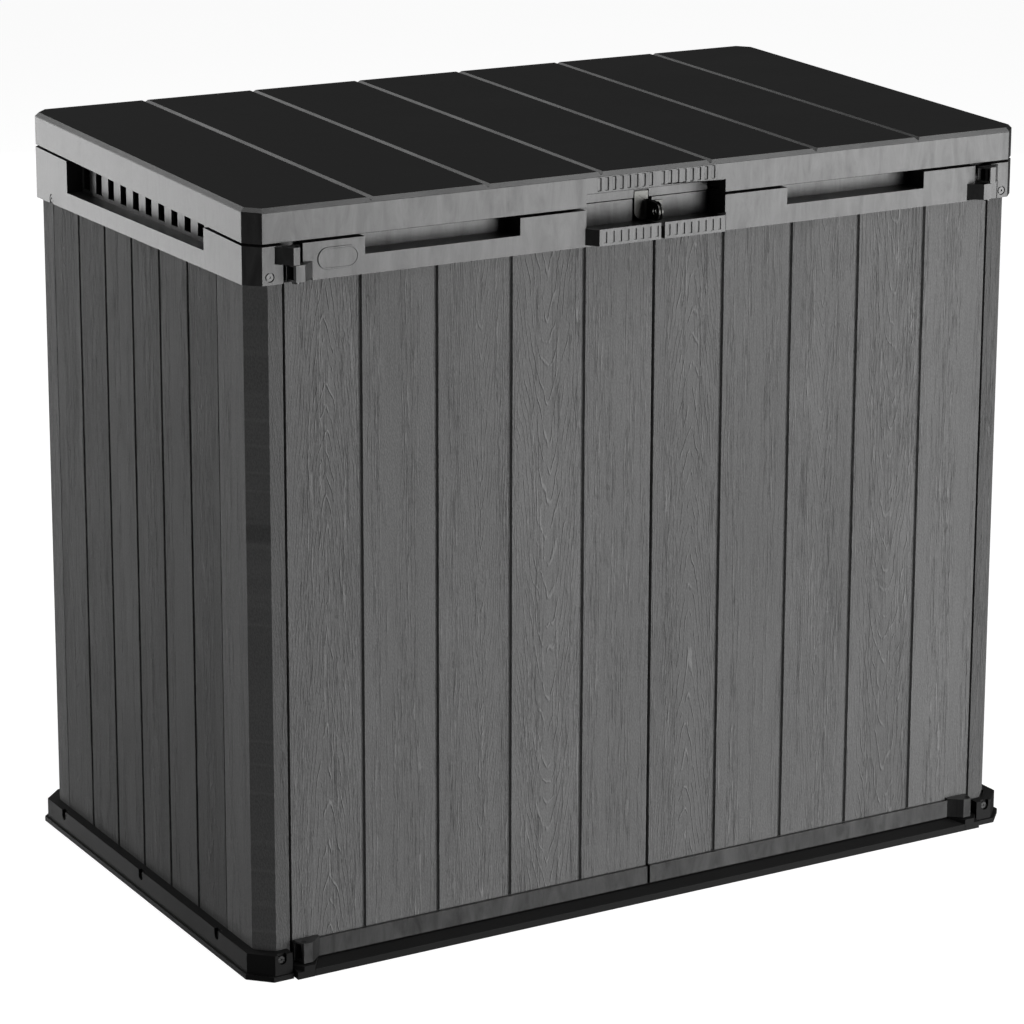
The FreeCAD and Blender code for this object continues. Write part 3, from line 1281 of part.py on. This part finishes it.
def struts():
    """Tube, gland, rod, piston and end fittings of the gas struts.

    Each piece is drawn upright with the lower pivot at its origin.
    """
    axis = ("0", "0")
    outer = cylinder("tube_outer", "tube_radius", "tube_end - tube_start",
                     (*axis, "tube_start"), "z")
    bore = cylinder("tube_bore", "tube_bore", "tube_end - tube_start", (*axis, "tube_start + 4"),
                    "z")
    strut_part(cut("left_strut_tube", outer, [bore]), "strut_tube")

    ring = cylinder("gland_ring", "tube_bore", "tube_end - gland_start + 1.5",
                    (*axis, "gland_start"), "z")
    hole = cylinder("gland_hole", "stud_radius + 0.05", "20", (*axis, "gland_start - 5"), "z")
    strut_part(cut("left_strut_gland", ring, [hole]), "strut_gland")

    eye = cylinder("eye_round", "9", "13", ("-6.5", "0", "0"), "x")
    stem = cylinder("eye_stem", "5.5", "tube_start", (*axis, "0"), "z")
    eye_hole = cylinder("eye_hole", "stud_radius + 0.05", "20", ("-10", "0", "0"), "x")
    strut_part(cut("left_strut_eye", fuse("eye_body", [eye, stem]), [eye_hole]), "strut_eye")

    rod = cylinder("rod_shaft", "stud_radius", "rod_end - rod_start", (*axis, "rod_start"), "z")
    thread = cylinder("rod_thread", "3", "6", (*axis, "rod_end - 0.01"), "z")
    strut_part(fuse("left_strut_rod", [rod, thread]), "strut_rod")

    disc = cylinder("piston_disc", "tube_bore - 0.1", "8", (*axis, "rod_start + 2"), "z")
    disc_hole = cylinder("piston_hole", "stud_radius + 0.02", "12", (*axis, "rod_start"), "z")
    strut_part(cut("left_strut_piston", disc, [disc_hole]), "strut_piston")

    cap = cylinder("head_cap", "5.5", "8", (*axis, "rod_end"), "z")
    knob = cylinder("head_knob", "8", "12", ("-6", "0", "strut_closed"), "x")
    stud = cylinder("head_stud", "stud_radius", "18", ("0", "0", "strut_closed"), "-x")
    flange = cylinder("head_flange", "8", "2.5", ("-15.5", "0", "strut_closed"), "-x")
    socket = cylinder("head_socket", "3.02", "6", (*axis, "rod_end"), "z")
    solid = fuse("head_body", [cap, knob, stud, flange])
    strut_part(cut("left_strut_head", solid, [socket]), "strut_head")


# ---------------------------------------------------------------- assembly


def build():
    """Make every sub-part."""
    floor_base()
    entry_ramp()
    corner_posts()
    side_walls()
    rear_wall()
    side_header()
    rear_header()
    lid_panel()
    lid_skirt()
    lid_liner()
    liner_screws()
    lid_hasp()
    hasp_screws()
    strut_lid_brackets()
    door_panels()
    top_rails()
    bottom_rails()
    door_screws()
    door_badge()
    door_staple()
    staple_screws()
    door_hinge_pins()
    lid_hinge_pins()
    header_screws()
    base_screws()
    strut_wall_brackets()
    strut_bracket_screws()
    struts()
    doc.recompute()


def check():
    """Stop if any object failed or any sub-part has no sound shape."""
    for item in doc.Objects:
        if {"Invalid", "Error"} & set(item.State):
            raise RuntimeError(f"{item.Name} failed: {item.State}")
    for item in nodes:
        shape = item.Shape
        if shape.isNull() or not shape.isValid() or not shape.Solids:
            raise RuntimeError(f"{item.Label} has no valid solid")


def export():
    """Write each sub-part to its own file."""
    os.makedirs("parts", exist_ok=True)
    for item in nodes:
        item.Shape.exportStep(f"parts/{item.Label}.step")
        box = item.Shape.BoundBox
        print(f"{item.Label:26s} solids {len(item.Shape.Solids):3d} "
              f"volume {item.Shape.Volume / 1000.0:9.1f} cm3 "
              f"x {box.XMin:8.2f} {box.XMax:8.2f} y {box.YMin:8.2f} {box.YMax:8.2f} "
              f"z {box.ZMin:8.2f} {box.ZMax:8.2f}")


build()
check()
export()
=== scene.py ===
import json
import math

import bmesh
import bpy
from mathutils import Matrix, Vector

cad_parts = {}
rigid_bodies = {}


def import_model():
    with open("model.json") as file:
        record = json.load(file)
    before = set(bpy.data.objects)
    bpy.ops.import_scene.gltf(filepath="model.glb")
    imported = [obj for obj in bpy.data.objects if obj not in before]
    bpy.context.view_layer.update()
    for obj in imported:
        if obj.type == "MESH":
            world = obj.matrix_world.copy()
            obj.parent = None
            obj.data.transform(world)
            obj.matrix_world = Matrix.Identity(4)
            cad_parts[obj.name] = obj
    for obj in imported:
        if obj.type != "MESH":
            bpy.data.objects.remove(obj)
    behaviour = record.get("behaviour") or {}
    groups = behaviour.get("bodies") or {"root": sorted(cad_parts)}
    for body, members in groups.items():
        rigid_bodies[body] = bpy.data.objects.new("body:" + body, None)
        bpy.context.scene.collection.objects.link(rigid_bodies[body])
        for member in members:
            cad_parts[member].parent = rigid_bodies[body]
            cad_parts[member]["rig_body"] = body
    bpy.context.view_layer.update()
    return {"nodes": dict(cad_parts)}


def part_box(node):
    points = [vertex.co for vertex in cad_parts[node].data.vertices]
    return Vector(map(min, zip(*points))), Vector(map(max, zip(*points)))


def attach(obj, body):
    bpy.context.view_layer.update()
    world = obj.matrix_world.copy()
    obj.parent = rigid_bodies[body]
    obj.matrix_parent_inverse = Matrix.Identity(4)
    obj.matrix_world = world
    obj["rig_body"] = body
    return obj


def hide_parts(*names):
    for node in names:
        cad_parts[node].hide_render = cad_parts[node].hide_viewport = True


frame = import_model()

NODES = frame["nodes"]
scene = bpy.context.scene


# ---------------------------------------------------------------- node graphs


class Graph:
    """Short calls for building one material's node tree."""

    def __init__(self, name):
        self.material = bpy.data.materials.new(name)
        self.material.use_nodes = True
        self.tree = self.material.node_tree
        self.tree.nodes.clear()
        self.coords = self.tree.nodes.new("ShaderNodeTexCoord").outputs["Object"]

    def put(self, socket, value):
        if isinstance(value, bpy.types.NodeSocket):
            self.tree.links.new(value, socket)
        elif value is not None:
            socket.default_value = value

    def node(self, kind, inputs=(), **settings):
        made = self.tree.nodes.new(kind)
        for key, value in settings.items():
            setattr(made, key, value)
        for key, value in dict(inputs).items():
            self.put(made.inputs[key], value)
        return made

    def math(self, operation, a, b=None):
        made = self.node("ShaderNodeMath", operation=operation)
        self.put(made.inputs[0], a)
        self.put(made.inputs[1], b)
        return made.outputs[0]

    def plus(self, a, b):
        return self.math("ADD", a, b)

    def minus(self, a, b):
        return self.math("SUBTRACT", a, b)

    def times(self, a, b):
        return self.math("MULTIPLY", a, b)

    def split(self, vector=None):
        made = self.node("ShaderNodeSeparateXYZ", {0: vector or self.coords})
        return made.outputs[0], made.outputs[1], made.outputs[2]

    def join(self, x, y, z):
        return self.node("ShaderNodeCombineXYZ", {0: x, 1: y, 2: z}).outputs[0]

    def scaled(self, scale, offset=(0, 0, 0)):
        """The object's coordinates, in cycles per metre along each axis."""
        made = self.node("ShaderNodeMapping", {"Vector": self.coords, "Scale": scale,
                                               "Location": offset})
        return made.outputs[0]

    def noise(self, vector, scale=1.0, detail=2.0, rough=0.5, distortion=0.0):
        made = self.node("ShaderNodeTexNoise", {"Vector": vector, "Scale": scale,
                                                "Detail": detail, "Roughness": rough,
                                                "Distortion": distortion})
        return made.outputs[0]

    def random(self, value):
        made = self.node("ShaderNodeTexWhiteNoise", {"W": value}, noise_dimensions="1D")
        return made.outputs["Value"]

    def remap(self, value, low, high, to_low=0.0, to_high=1.0, smooth=False):
        made = self.node("ShaderNodeMapRange",
                         {0: value, 1: low, 2: high, 3: to_low, 4: to_high},
                         interpolation_type="SMOOTHSTEP" if smooth else "LINEAR")
        return made.outputs[0]

    def grey(self, value):
        return self.join(value, value, value)

    def bump(self, height, distance, strength=1.0):
        """Normal of a relief whose full height is distance, in metres."""
        made = self.node("ShaderNodeBump", {"Height": height, "Distance": distance,
                                            "Strength": strength})
        return made.outputs[0]

    def edge(self, radius):
        """1 on rounded edges, 0 on flats: the mask for painted edge highlights and glossier edges.
        """
        bevel = self.node("ShaderNodeBevel", {"Radius": radius}, samples=4).outputs[0]
        flat = self.node("ShaderNodeNewGeometry").outputs["Normal"]
        made = self.node("ShaderNodeVectorMath", {0: bevel, 1: flat}, operation="DOT_PRODUCT")
        return self.remap(made.outputs["Value"], 0.995, 0.90, 0.0, 1.0)

    def finish(self, colour, rough, normal=None, metallic=0.0, specular=0.5):
        shader = self.node("ShaderNodeBsdfPrincipled",
                           {"Base Color": colour, "Roughness": rough, "Metallic": metallic,
                            "IOR": 1.5, "Specular IOR Level": specular})
        if normal is not None:
            self.put(shader.inputs["Normal"], normal)
        out = self.node("ShaderNodeOutputMaterial")
        self.tree.links.new(shader.outputs[0], out.inputs[0])
        return self.material


# ---------------------------------------------------------------- materials


# The boards that follow one another: share of arches in the grain, the way the arches point
# (0 down, 1 up) and how narrow they are
BOARDS = ((1.0, 1.0, 0.55), (0.0, 0.0, 0.3), (0.55, 0.0, 1.0), (0.9, 0.0, 0.30), (0.0, 1.0, 0.4))
RINGS = 40.0  # growth rings per metre of board in an arch
GRAIN_DEPTH = 0.0014


def board_figure(g, index, first):
    """The row of BOARDS for a plank, as three values."""
    count = len(BOARDS)
    turn = g.math("FLOORED_MODULO", g.plus(index, first), float(count))
    made = g.node("ShaderNodeValToRGB",
                  {0: g.math("DIVIDE", g.plus(turn, 0.5), float(count))})
    ramp = made.color_ramp
    ramp.interpolation = "CONSTANT"
    while len(ramp.elements) < count:
        ramp.elements.new(0.5)
    for place, (element, values) in enumerate(zip(ramp.elements, BOARDS)):
        element.position = place / count
        element.color = (*values, 1.0)
    return g.split(made.outputs[0])


def planks(name, across, pitch, phase, level, seed, first):
    """Resin planks with an embossed oak grain, each plank different.

    across is the axis that the planks are counted along, in steps of pitch from phase.
    """
    g = Graph(name)
    x, y, z = g.split()
    u = {"x": x, "y": y, "sum": g.plus(x, y)}[across]
    place = g.math("DIVIDE", g.minus(u, phase), pitch)
    index = g.math("FLOOR", place)
    inside = g.minus(g.math("FRACT", place), 0.5)
    pick = g.random(g.plus(index, seed))
    other = g.random(g.plus(index, seed + 31.7))
    shift = g.times(pick, 7.0)
    share, upward, narrow = board_figure(g, index, first)

    def drawn_out(fine, long, detail, rough, path=u, slide=shift):
        """Noise with fine cycles per metre across the plank and long ones along it."""
        return g.noise(g.join(g.times(path, fine), slide,
                              g.times(z, long)), 1.0, detail, rough)

    # slow wander of the grain and the nested arches of a flat-sawn board
    wander = drawn_out(14.0, 3.0, 3.0, 0.55)
    ripple = drawn_out(45.0, 16.0, 2.0, 0.5)
    offset = g.times(g.minus(other, 0.5), 0.22)
    heart = g.math("ABSOLUTE", g.plus(inside, offset))
    bow = g.times(g.math("POWER", heart, 1.45), g.remap(narrow, 0, 1, 0.5, 2.4))
    turned = g.times(z, g.remap(upward, 0, 1, -1.0, 1.0))
    arch = g.plus(g.plus(bow, turned), g.times(wander, 0.30))
    arch = g.plus(arch, g.times(ripple, 0.035))
    ring = g.math("PINGPONG", g.times(arch, RINGS), 1.0)
    line = g.remap(ring, 0.0, 0.26, 1.0, 0.0, smooth=True)
    broken = drawn_out(120.0, 26.0, 2.0, 0.6)
    near = g.remap(heart, 0.30, 0.46, 1.0, 0.25)
    arches = g.times(g.times(line, g.remap(broken, 0.40, 0.52)),
                    g.times(share, near))

    # straight fibres, bunched in bands, with short dashes
    warp = g.plus(u, g.times(g.minus(wander, 0.5), 0.010))
    fibre = drawn_out(330.0, 9.0, 3.0, 0.7, warp)
    bands = drawn_out(42.0, 0.9, 2.0, 0.5, warp)
    gaps = drawn_out(260.0, 34.0, 1.0, 0.5, warp)
    streaks = g.times(g.remap(fibre, 0.50, 0.60, 0.0, 1.0, smooth=True),
                     g.remap(bands, 0.42, 0.58, 0.12, 1.0))
    streaks = g.times(streaks, g.remap(gaps, 0.38, 0.55, 0.25, 1.0))
    pores = g.noise(g.join(g.times(u, 700.0), g.times(y, 700.0),
                           g.times(z, 260.0)), 1.0, 1.0, 0.5)
    relief = g.plus(arches, g.times(streaks, 0.9))
    relief = g.plus(relief, g.times(pores, 0.45))

    # tone: slow clouds, a step from plank to plank, pores, dark fibres, and a painted highlight on
    # the raised grain
    tone = g.remap(drawn_out(5.0, 1.6, 3.0, 0.6), 0.3, 0.7, 0.90, 1.10)
    tone = g.times(tone, g.remap(pick, 0, 1, 0.95, 1.05))
    tone = g.times(tone, g.remap(pores, 0.3, 0.7, 0.86, 1.14))
    dark = g.remap(drawn_out(360.0, 11.0, 2.0, 0.6, warp, g.plus(shift, 3.0)),
                   0.56, 0.66, 0.0, 0.42, smooth=True)
    dark = g.times(dark, g.remap(bands, 0.42, 0.58, 0.2, 1.0))
    tone = g.minus(tone, dark)
    # painted highlight: the raised streaks and arches of the relief are made paler
    tone = g.plus(tone, g.times(streaks, 0.42))
    tone = g.plus(tone, g.times(arches, 0.40))
    edge_highlight_mask = g.edge(0.0012)
    # painted highlight: the rounded edges are made paler
    tone = g.plus(tone, g.times(edge_highlight_mask, 0.5))
    value = g.times(tone, level)
    rough = g.minus(g.remap(fibre, 0.3, 0.7, 0.56, 0.70),
                   g.times(edge_highlight_mask, 0.1))
    return g.finish(g.grey(value), rough, g.bump(relief, GRAIN_DEPTH, 0.9), specular=0.22)


def trim(name, level, rough=0.36, specular=0.5):
    """Satin moulded resin with faint upright flow marks and a fine spark-eroded grain."""
    g = Graph(name)
    flow = g.noise(g.scaled((46, 46, 11)), 1.0, 5.0, 0.68, 0.8)
    cloud = g.noise(g.scaled((9, 9, 9), (3, 1, 7)), 1.0, 3.0, 0.55)
    grain = g.noise(g.coords, 1500.0, 2.0, 0.6)
    edge_highlight_mask = g.edge(0.0014)
    tone = g.times(g.remap(flow, 0.3, 0.7, 0.80, 1.18),
                  g.remap(cloud, 0.3, 0.7, 0.90, 1.10))
    tone = g.times(tone, g.remap(grain, 0.3, 0.7, 0.92, 1.08))
    # painted highlight: the rounded edges are made paler
    tone = g.plus(tone, g.times(edge_highlight_mask, 0.35))
    shine = g.plus(g.remap(flow, 0.3, 0.7, rough - 0.05, rough + 0.06),
                   g.times(edge_highlight_mask, -0.06))
    return g.finish(g.grey(g.times(tone, level)), shine,
                    g.bump(g.plus(grain, g.times(flow, 0.6)), 0.00025, 0.4),
                    specular=g.times(g.remap(flow, 0.3, 0.7, 0.66, 1.30),
                                    g.remap(grain, 0.3, 0.7, specular * 0.93, specular * 1.07)))


def matt(name, level, rough, grain_size=1200.0, depth=0.0003, specular=0.5, edge_highlight_strength=0.1):
    """Plain moulded resin or coated metal with a fine grain and a painted highlight on its edges.
    """
    g = Graph(name)
    grain = g.noise(g.coords, grain_size, 2.0, 0.6)
    cloud = g.noise(g.scaled((7, 7, 7)), 1.0, 4.0, 0.6)
    edge_highlight_mask = g.edge(0.0012)
    tone = g.times(g.remap(cloud, 0.3, 0.7, 0.85, 1.15),
                  g.remap(grain, 0.3, 0.7, 0.9, 1.1))
    # painted highlight: the rounded edges are made paler
    tone = g.plus(tone, g.times(edge_highlight_mask, edge_highlight_strength * 6))
    shine = g.remap(cloud, 0.3, 0.7, rough - 0.04, rough + 0.05)
    return g.finish(g.grey(g.times(tone, level)), shine,
                    g.bump(grain, depth, 0.4), specular=specular)


def metal(name, level, rough, brush=(40, 40, 900), warm=0.0):
    """Steel with a fine brushed grain and small scuffs."""
    g = Graph(name)
    lines = g.noise(g.scaled(brush), 1.0, 3.0, 0.6)
    scuffs = g.remap(g.noise(g.scaled((60, 90, 140)), 1.0, 5.0, 0.7), 0.55, 0.75)
    edge_highlight_mask = g.edge(0.0008)
    # painted highlight: the rounded edges are made paler
    tone = g.plus(g.remap(lines, 0.3, 0.7, 0.88, 1.08), g.times(edge_highlight_mask, 0.2))
    tone = g.minus(tone, g.times(scuffs, 0.12))
    value = g.times(tone, level)
    shine = g.plus(g.remap(lines, 0.3, 0.7, rough - 0.05, rough + 0.07),
                   g.times(scuffs, 0.12))
    return g.finish(g.join(value, value, g.times(value, 1.0 - warm)), shine,
                    g.bump(lines, 0.00008, 0.5), metallic=1.0)


# plank pitches and the place of a first groove on each wall, in metres
DOOR_PITCH, LEFT_DOOR_START, RIGHT_DOOR_START = 0.1277, -0.63605, -0.00245
SIDE_PITCH = 0.1
BACK_PITCH, BACK_START = 0.14, 0.07
POST_PITCH, POST_START = 0.16, -1.02
WALL_LOW, WALL_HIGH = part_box("left_wall")
SIDE_MIDDLE = (WALL_LOW.y + WALL_HIGH.y) / 2

# The plank walls are one resin in lit and shaded copies: level 0.140 on the doors, and darker on
# the posts, back and sides as painted shade.
MATERIALS = {
    "planks_left_door": planks("planks_left_door", "x", DOOR_PITCH, LEFT_DOOR_START,
                               0.140, 3.0, 0),
    "planks_right_door": planks("planks_right_door", "x", DOOR_PITCH, RIGHT_DOOR_START,
                                0.140, 11.0, 0),
    "planks_side_shaded": planks("planks_side_shaded", "y", SIDE_PITCH, SIDE_MIDDLE, 0.058, 23.0, 1),
    "planks_back_shaded": planks("planks_back_shaded", "x", BACK_PITCH, BACK_START, 0.085, 41.0, 2),
    "planks_post_shaded": planks("planks_post_shaded", "sum", POST_PITCH, POST_START, 0.104, 57.0, 1),
    "trim": trim("trim", 0.022, 0.34, 0.60),
    # lid and base: the trim's resin made near black, as painted shade on their upward faces
    "lid": matt("lid", 0.006, 0.33, 900.0, 0.00012, 0.5),
    "base": matt("base", 0.007, 0.58, specular=0.18),
    "liner": matt("liner", 0.04, 0.5),
    "latch": metal("latch", 0.085, 0.40, warm=0.05),
    "bracket": matt("bracket", 0.03, 0.42),
    "fixing": metal("fixing", 0.075, 0.36),
    "tube": matt("tube", 0.02, 0.28, edge_highlight_strength=0.05),
    "rod": metal("rod", 0.75, 0.12),
}


# ---------------------------------------------------------------- pieces


def body_of(node):
    return NODES[node]["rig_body"]


def settle(piece, node, material):
    """Show a new piece in place of a CAD node."""
    piece.data.materials.clear()
    piece.data.materials.append(MATERIALS[material])
    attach(piece, body_of(node))
    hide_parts(node)
    return piece


def link(name, mesh):
    made = bpy.data.objects.new(name, mesh)
    scene.collection.objects.link(made)
    return made


# Faces with ribs or pockets keep their triangles, because one face around holes folds over itself.
POCKETED = ("lid_skirt", "lid_panel", "lid_liner", "floor_base", "left_wall", "right_wall",
            "back_wall", "left_door_panel", "right_door_panel", "left_door_top_rail",
            "right_door_top_rail")


def rounded_edges(piece, width, angle):
    """Bevel on the edges sharper than angle, in degrees."""
    bevel = piece.modifiers.new("edges", "BEVEL")
    bevel.width = width
    bevel.segments = 2
    bevel.limit_method = "ANGLE"
    bevel.angle_limit = math.radians(angle)
    return bevel


def flat_shading(piece):
    """Normals that keep the large faces flat beside their rounded edges."""
    flat = piece.modifiers.new("normals", "WEIGHTED_NORMAL")
    flat.mode = "FACE_AREA"
    flat.weight = 100
    return flat


def softened(node, material):
    """Copy of a moulding with its sharp edges rounded over."""
    mesh = NODES[node].data.copy()
    mesh.name = node + "_visual"
    work = bmesh.new()
    work.from_mesh(mesh)
    bmesh.ops.remove_doubles(work, verts=work.verts, dist=2e-6)
    if node not in POCKETED:
        bmesh.ops.dissolve_limit(work, angle_limit=math.radians(0.6), verts=work.verts,
                                 edges=work.edges, use_dissolve_boundaries=False)
    for face in work.faces:
        face.smooth = True
    work.to_mesh(mesh)
    work.free()
    piece = link(node + "_visual", mesh)
    bevel = rounded_edges(piece, 0.0009, 28.0)
    bevel.use_clamp_overlap = True
    bevel.miter_outer = "MITER_ARC"
    flat_shading(piece).thresh = 0.001
    return settle(piece, node, material)


def round_arc(centre, radius, start, end, steps):
    """Points along an arc, angles in degrees."""
    points = []
    for k in range(steps + 1):
        a = math.radians(start + (end - start) * k / steps)
        points.append((centre[0] + radius * math.cos(a), centre[1] + radius * math.sin(a)))
    return points


def fold_vertex(point, flat, bend, seam, origin):
    """Where a point of the flat sheet goes once its lug is folded forward."""
    u, z = point
    if z > seam or u <= flat:
        return (origin[0] + u, origin[1], z)
    arc = bend * math.pi / 2
    if u < flat + arc:
        a = (u - flat) / bend
        return (origin[0] + flat + bend * math.sin(a), origin[1] - bend * (1 - math.cos(a)), z)
    return (origin[0] + flat + bend, origin[1] - bend - (u - flat - arc), z)


def bent_hasp(node, material):
    """Hasp folded from one sheet, with a rounded lug and a padlock hole."""
    low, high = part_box(node)
    thick, bend, lug_radius, hole_radius = 0.0025, 0.0048, 0.0145, 0.0055
    origin = (low.x, high.y - thick / 2)
    flat = high.x - low.x - thick / 2 - bend
    arc = bend * math.pi / 2
    lug_z = low.z + lug_radius
    seam = lug_z + lug_radius
    centre = (flat + arc + (origin[1] - bend - (low.y + lug_radius)), lug_z)
    outline = [(0.0, high.z - 0.001), (0.001, high.z), (high.x - low.x, high.z),
               (high.x - low.x, seam + 0.0012), (flat, seam + 0.0012), (flat, seam)]
    outline += list(reversed(round_arc(centre, lug_radius, -90, 90, 28)))
    outline += list(reversed(round_arc((0.012, low.z + 0.012), 0.012, 180, 270, 12)))
    hole = round_arc(centre, hole_radius, 0, 360, 40)[:-1]

    work = bmesh.new()
    edges = []
    for loop in (outline, hole):
        corners = [work.verts.new((u, 0.0, z)) for u, z in loop]
        for first, second in zip(corners, corners[1:] + corners[:1]):
            edges.append(work.edges.new((first, second)))
    bmesh.ops.triangle_fill(work, edges=edges, use_beauty=True, use_dissolve=False)
    folds = 12
    for step in range(folds + 1):
        cut_at = flat + arc * step / folds
        bmesh.ops.bisect_plane(work, geom=work.verts[:] + work.edges[:] + work.faces[:],
                               plane_co=(cut_at, 0, 0), plane_no=(1, 0, 0))
    for vertex in work.verts:
        vertex.co = fold_vertex((vertex.co.x, vertex.co.z), flat, bend, seam + 0.0006, origin)
    bmesh.ops.recalc_face_normals(work, faces=work.faces[:])
    for face in work.faces:
        face.smooth = True
    mesh = bpy.data.meshes.new(node + "_visual")
    work.to_mesh(mesh)
    work.free()
    piece = link(node + "_visual", mesh)
    sheet = piece.modifiers.new("sheet", "SOLIDIFY")
    sheet.thickness = thick
    sheet.offset = 0.0
    rounded_edges(piece, 0.0005, 50.0)
    flat_shading(piece)
    return settle(piece, node, material)


# CAD nodes that get a rounded copy, and nodes that are shown as they are, with their materials
PLAN = {
    "left_door_panel": "planks_left_door", "right_door_panel": "planks_right_door",
    "left_wall": "planks_side_shaded", "right_wall": "planks_side_shaded", "back_wall": "planks_back_shaded",
    "left_front_post": "planks_post_shaded", "right_front_post": "planks_post_shaded",
    "left_rear_post": "planks_post_shaded", "right_rear_post": "planks_post_shaded",
    "left_header": "trim", "right_header": "trim", "rear_header": "trim",
    "left_door_top_rail": "trim", "right_door_top_rail": "trim",
    "left_door_bottom_rail": "trim", "right_door_bottom_rail": "trim",
    "left_door_badge": "trim", "lid_skirt": "trim", "lid_panel": "lid",
    "floor_base": "base", "entry_ramp": "base", "lid_liner": "liner",
    "door_staple": "latch",
}
REST = {
    "door_hinge_pins": "fixing", "lid_hinge_pins": "fixing", "header_screws": "fixing",
    "base_screws": "fixing", "hasp_screws": "fixing", "staple_screws": "fixing",
    "lid_liner_screws": "fixing", "left_door_screws": "fixing", "right_door_screws": "fixing",
    "strut_bracket_screws": "fixing", "strut_wall_brackets": "bracket",
    "strut_lid_brackets": "bracket",
}
for side in ("left", "right"):
    for part, material in (("tube", "tube"), ("gland", "bracket"), ("eye", "bracket"),
                           ("rod", "rod"), ("piston", "bracket"), ("head", "bracket")):
        REST[f"{side}_strut_{part}"] = material

for node, material in PLAN.items():
    softened(node, material)
bent_hasp("lid_hasp", "latch")
for node, material in REST.items():
    shown = NODES[node]
    shown.data.materials.clear()
    shown.data.materials.append(MATERIALS[material])


# ---------------------------------------------------------------- stage


def area_light(name, place, aim, size, power):
    """Large soft white panel that the camera doesn't see; size in metres, power in watts."""
    data = bpy.data.lights.new(name, "AREA")
    data.shape = "RECTANGLE"
    data.size, data.size_y = size
    data.energy = power
    lamp = bpy.data.objects.new(name, data)
    lamp.location = place
    lamp.rotation_euler = (Vector(aim) - Vector(place)).to_track_quat("-Z", "Y").to_euler()
    lamp.visible_camera = False
    scene.collection.objects.link(lamp)
    return lamp


def around(azimuth, distance, height):
    """Point round the object; azimuth 0 is in front of it, 90 to its right."""
    a = math.radians(azimuth)
    return (math.sin(a) * distance, -math.cos(a) * distance, height)


MIDDLE = (0, 0, 0.6)
area_light("panel_front_right", around(36, 5.6, 0.45), MIDDLE, (5.0, 3.2), 345)
area_light("panel_back_left", around(-153, 5.6, 0.3), MIDDLE, (2.4, 4.0), 125)
area_light("panel_left", around(-98, 6.0, 0.3), MIDDLE, (2.4, 2.4), 45)
area_light("panel_top_left", (-1.9, 0.0, 5.6), (-0.6, -0.4, 1.2), (2.2, 2.2), 42)
area_light("panel_high_back_left", around(-165, 5.2, 4.0), MIDDLE, (2.6, 2.0), 34)
area_light("panel_high_right", around(62, 3.2, 5.4), MIDDLE, (2.6, 2.6), 95)
area_light("panel_right", around(150, 6.0, -0.6), MIDDLE, (3.0, 3.0), 60)

world = bpy.data.worlds.new("studio")
scene.world = world
world.use_nodes = True
tree = world.node_tree
tree.nodes.clear()
seen = tree.nodes.new("ShaderNodeBackground")
seen.inputs[0].default_value = (1, 1, 1, 1)
seen.inputs[1].default_value = 1.0
fill = tree.nodes.new("ShaderNodeBackground")
fill.inputs[0].default_value = (1, 1, 1, 1)
fill.inputs[1].default_value = 0.06
ray = tree.nodes.new("ShaderNodeLightPath")
both = tree.nodes.new("ShaderNodeMixShader")
sky = tree.nodes.new("ShaderNodeOutputWorld")
tree.links.new(ray.outputs["Is Camera Ray"], both.inputs[0])
tree.links.new(fill.outputs[0], both.inputs[1])
tree.links.new(seen.outputs[0], both.inputs[2])
tree.links.new(both.outputs[0], sky.inputs[0])

floor_mesh = bpy.data.meshes.new("floor")
FLOOR_SIDES, FLOOR_RADIUS, FLOOR_LEVEL = 96, 40, -0.0005
corners = [(FLOOR_RADIUS * math.cos(2 * math.pi * k / FLOOR_SIDES),
            FLOOR_RADIUS * math.sin(2 * math.pi * k / FLOOR_SIDES), FLOOR_LEVEL)
           for k in range(FLOOR_SIDES)]
floor_mesh.from_pydata(corners, [], [list(range(FLOOR_SIDES))])
floor = link("floor", floor_mesh)
g = Graph("floor")
soft = g.noise(g.scaled((1.5, 1.5, 1.5)), 1.0, 3.0, 0.5)
white = g.finish(g.grey(g.remap(soft, 0.3, 0.7, 0.28, 0.30)), 0.9, specular=0.0)
shader = next(n for n in white.node_tree.nodes if n.type == "BSDF_PRINCIPLED")
shader.inputs["Emission Color"].default_value = (1, 1, 1, 1)
shader.inputs["Emission Strength"].default_value = 0.93
floor.data.materials.append(white)
floor.visible_diffuse = False
floor.visible_glossy = False
floor.visible_shadow = False

camera_data = bpy.data.cameras.new("camera")
camera = bpy.data.objects.new("camera", camera_data)
scene.collection.objects.link(camera)
AZIMUTH, ELEVATION, DISTANCE = math.radians(-29.6404), math.radians(13.3933), 5.8851
TARGET = Vector((-0.09897, 0.004, 0.84479))
camera.location = TARGET + DISTANCE * Vector((
    math.sin(AZIMUTH) * math.cos(ELEVATION), -math.cos(AZIMUTH) * math.cos(ELEVATION),
    math.sin(ELEVATION)))
camera.rotation_euler = (math.pi / 2 - ELEVATION, 0, AZIMUTH)
camera_data.sensor_width = 36.0
camera_data.lens = 128.025
camera_data.shift_x = 0.03978
camera_data.shift_y = -0.17282
camera_data.clip_start = 0.1
camera_data.clip_end = 200.0
scene.camera = camera
scene.view_settings.view_transform = "Standard"
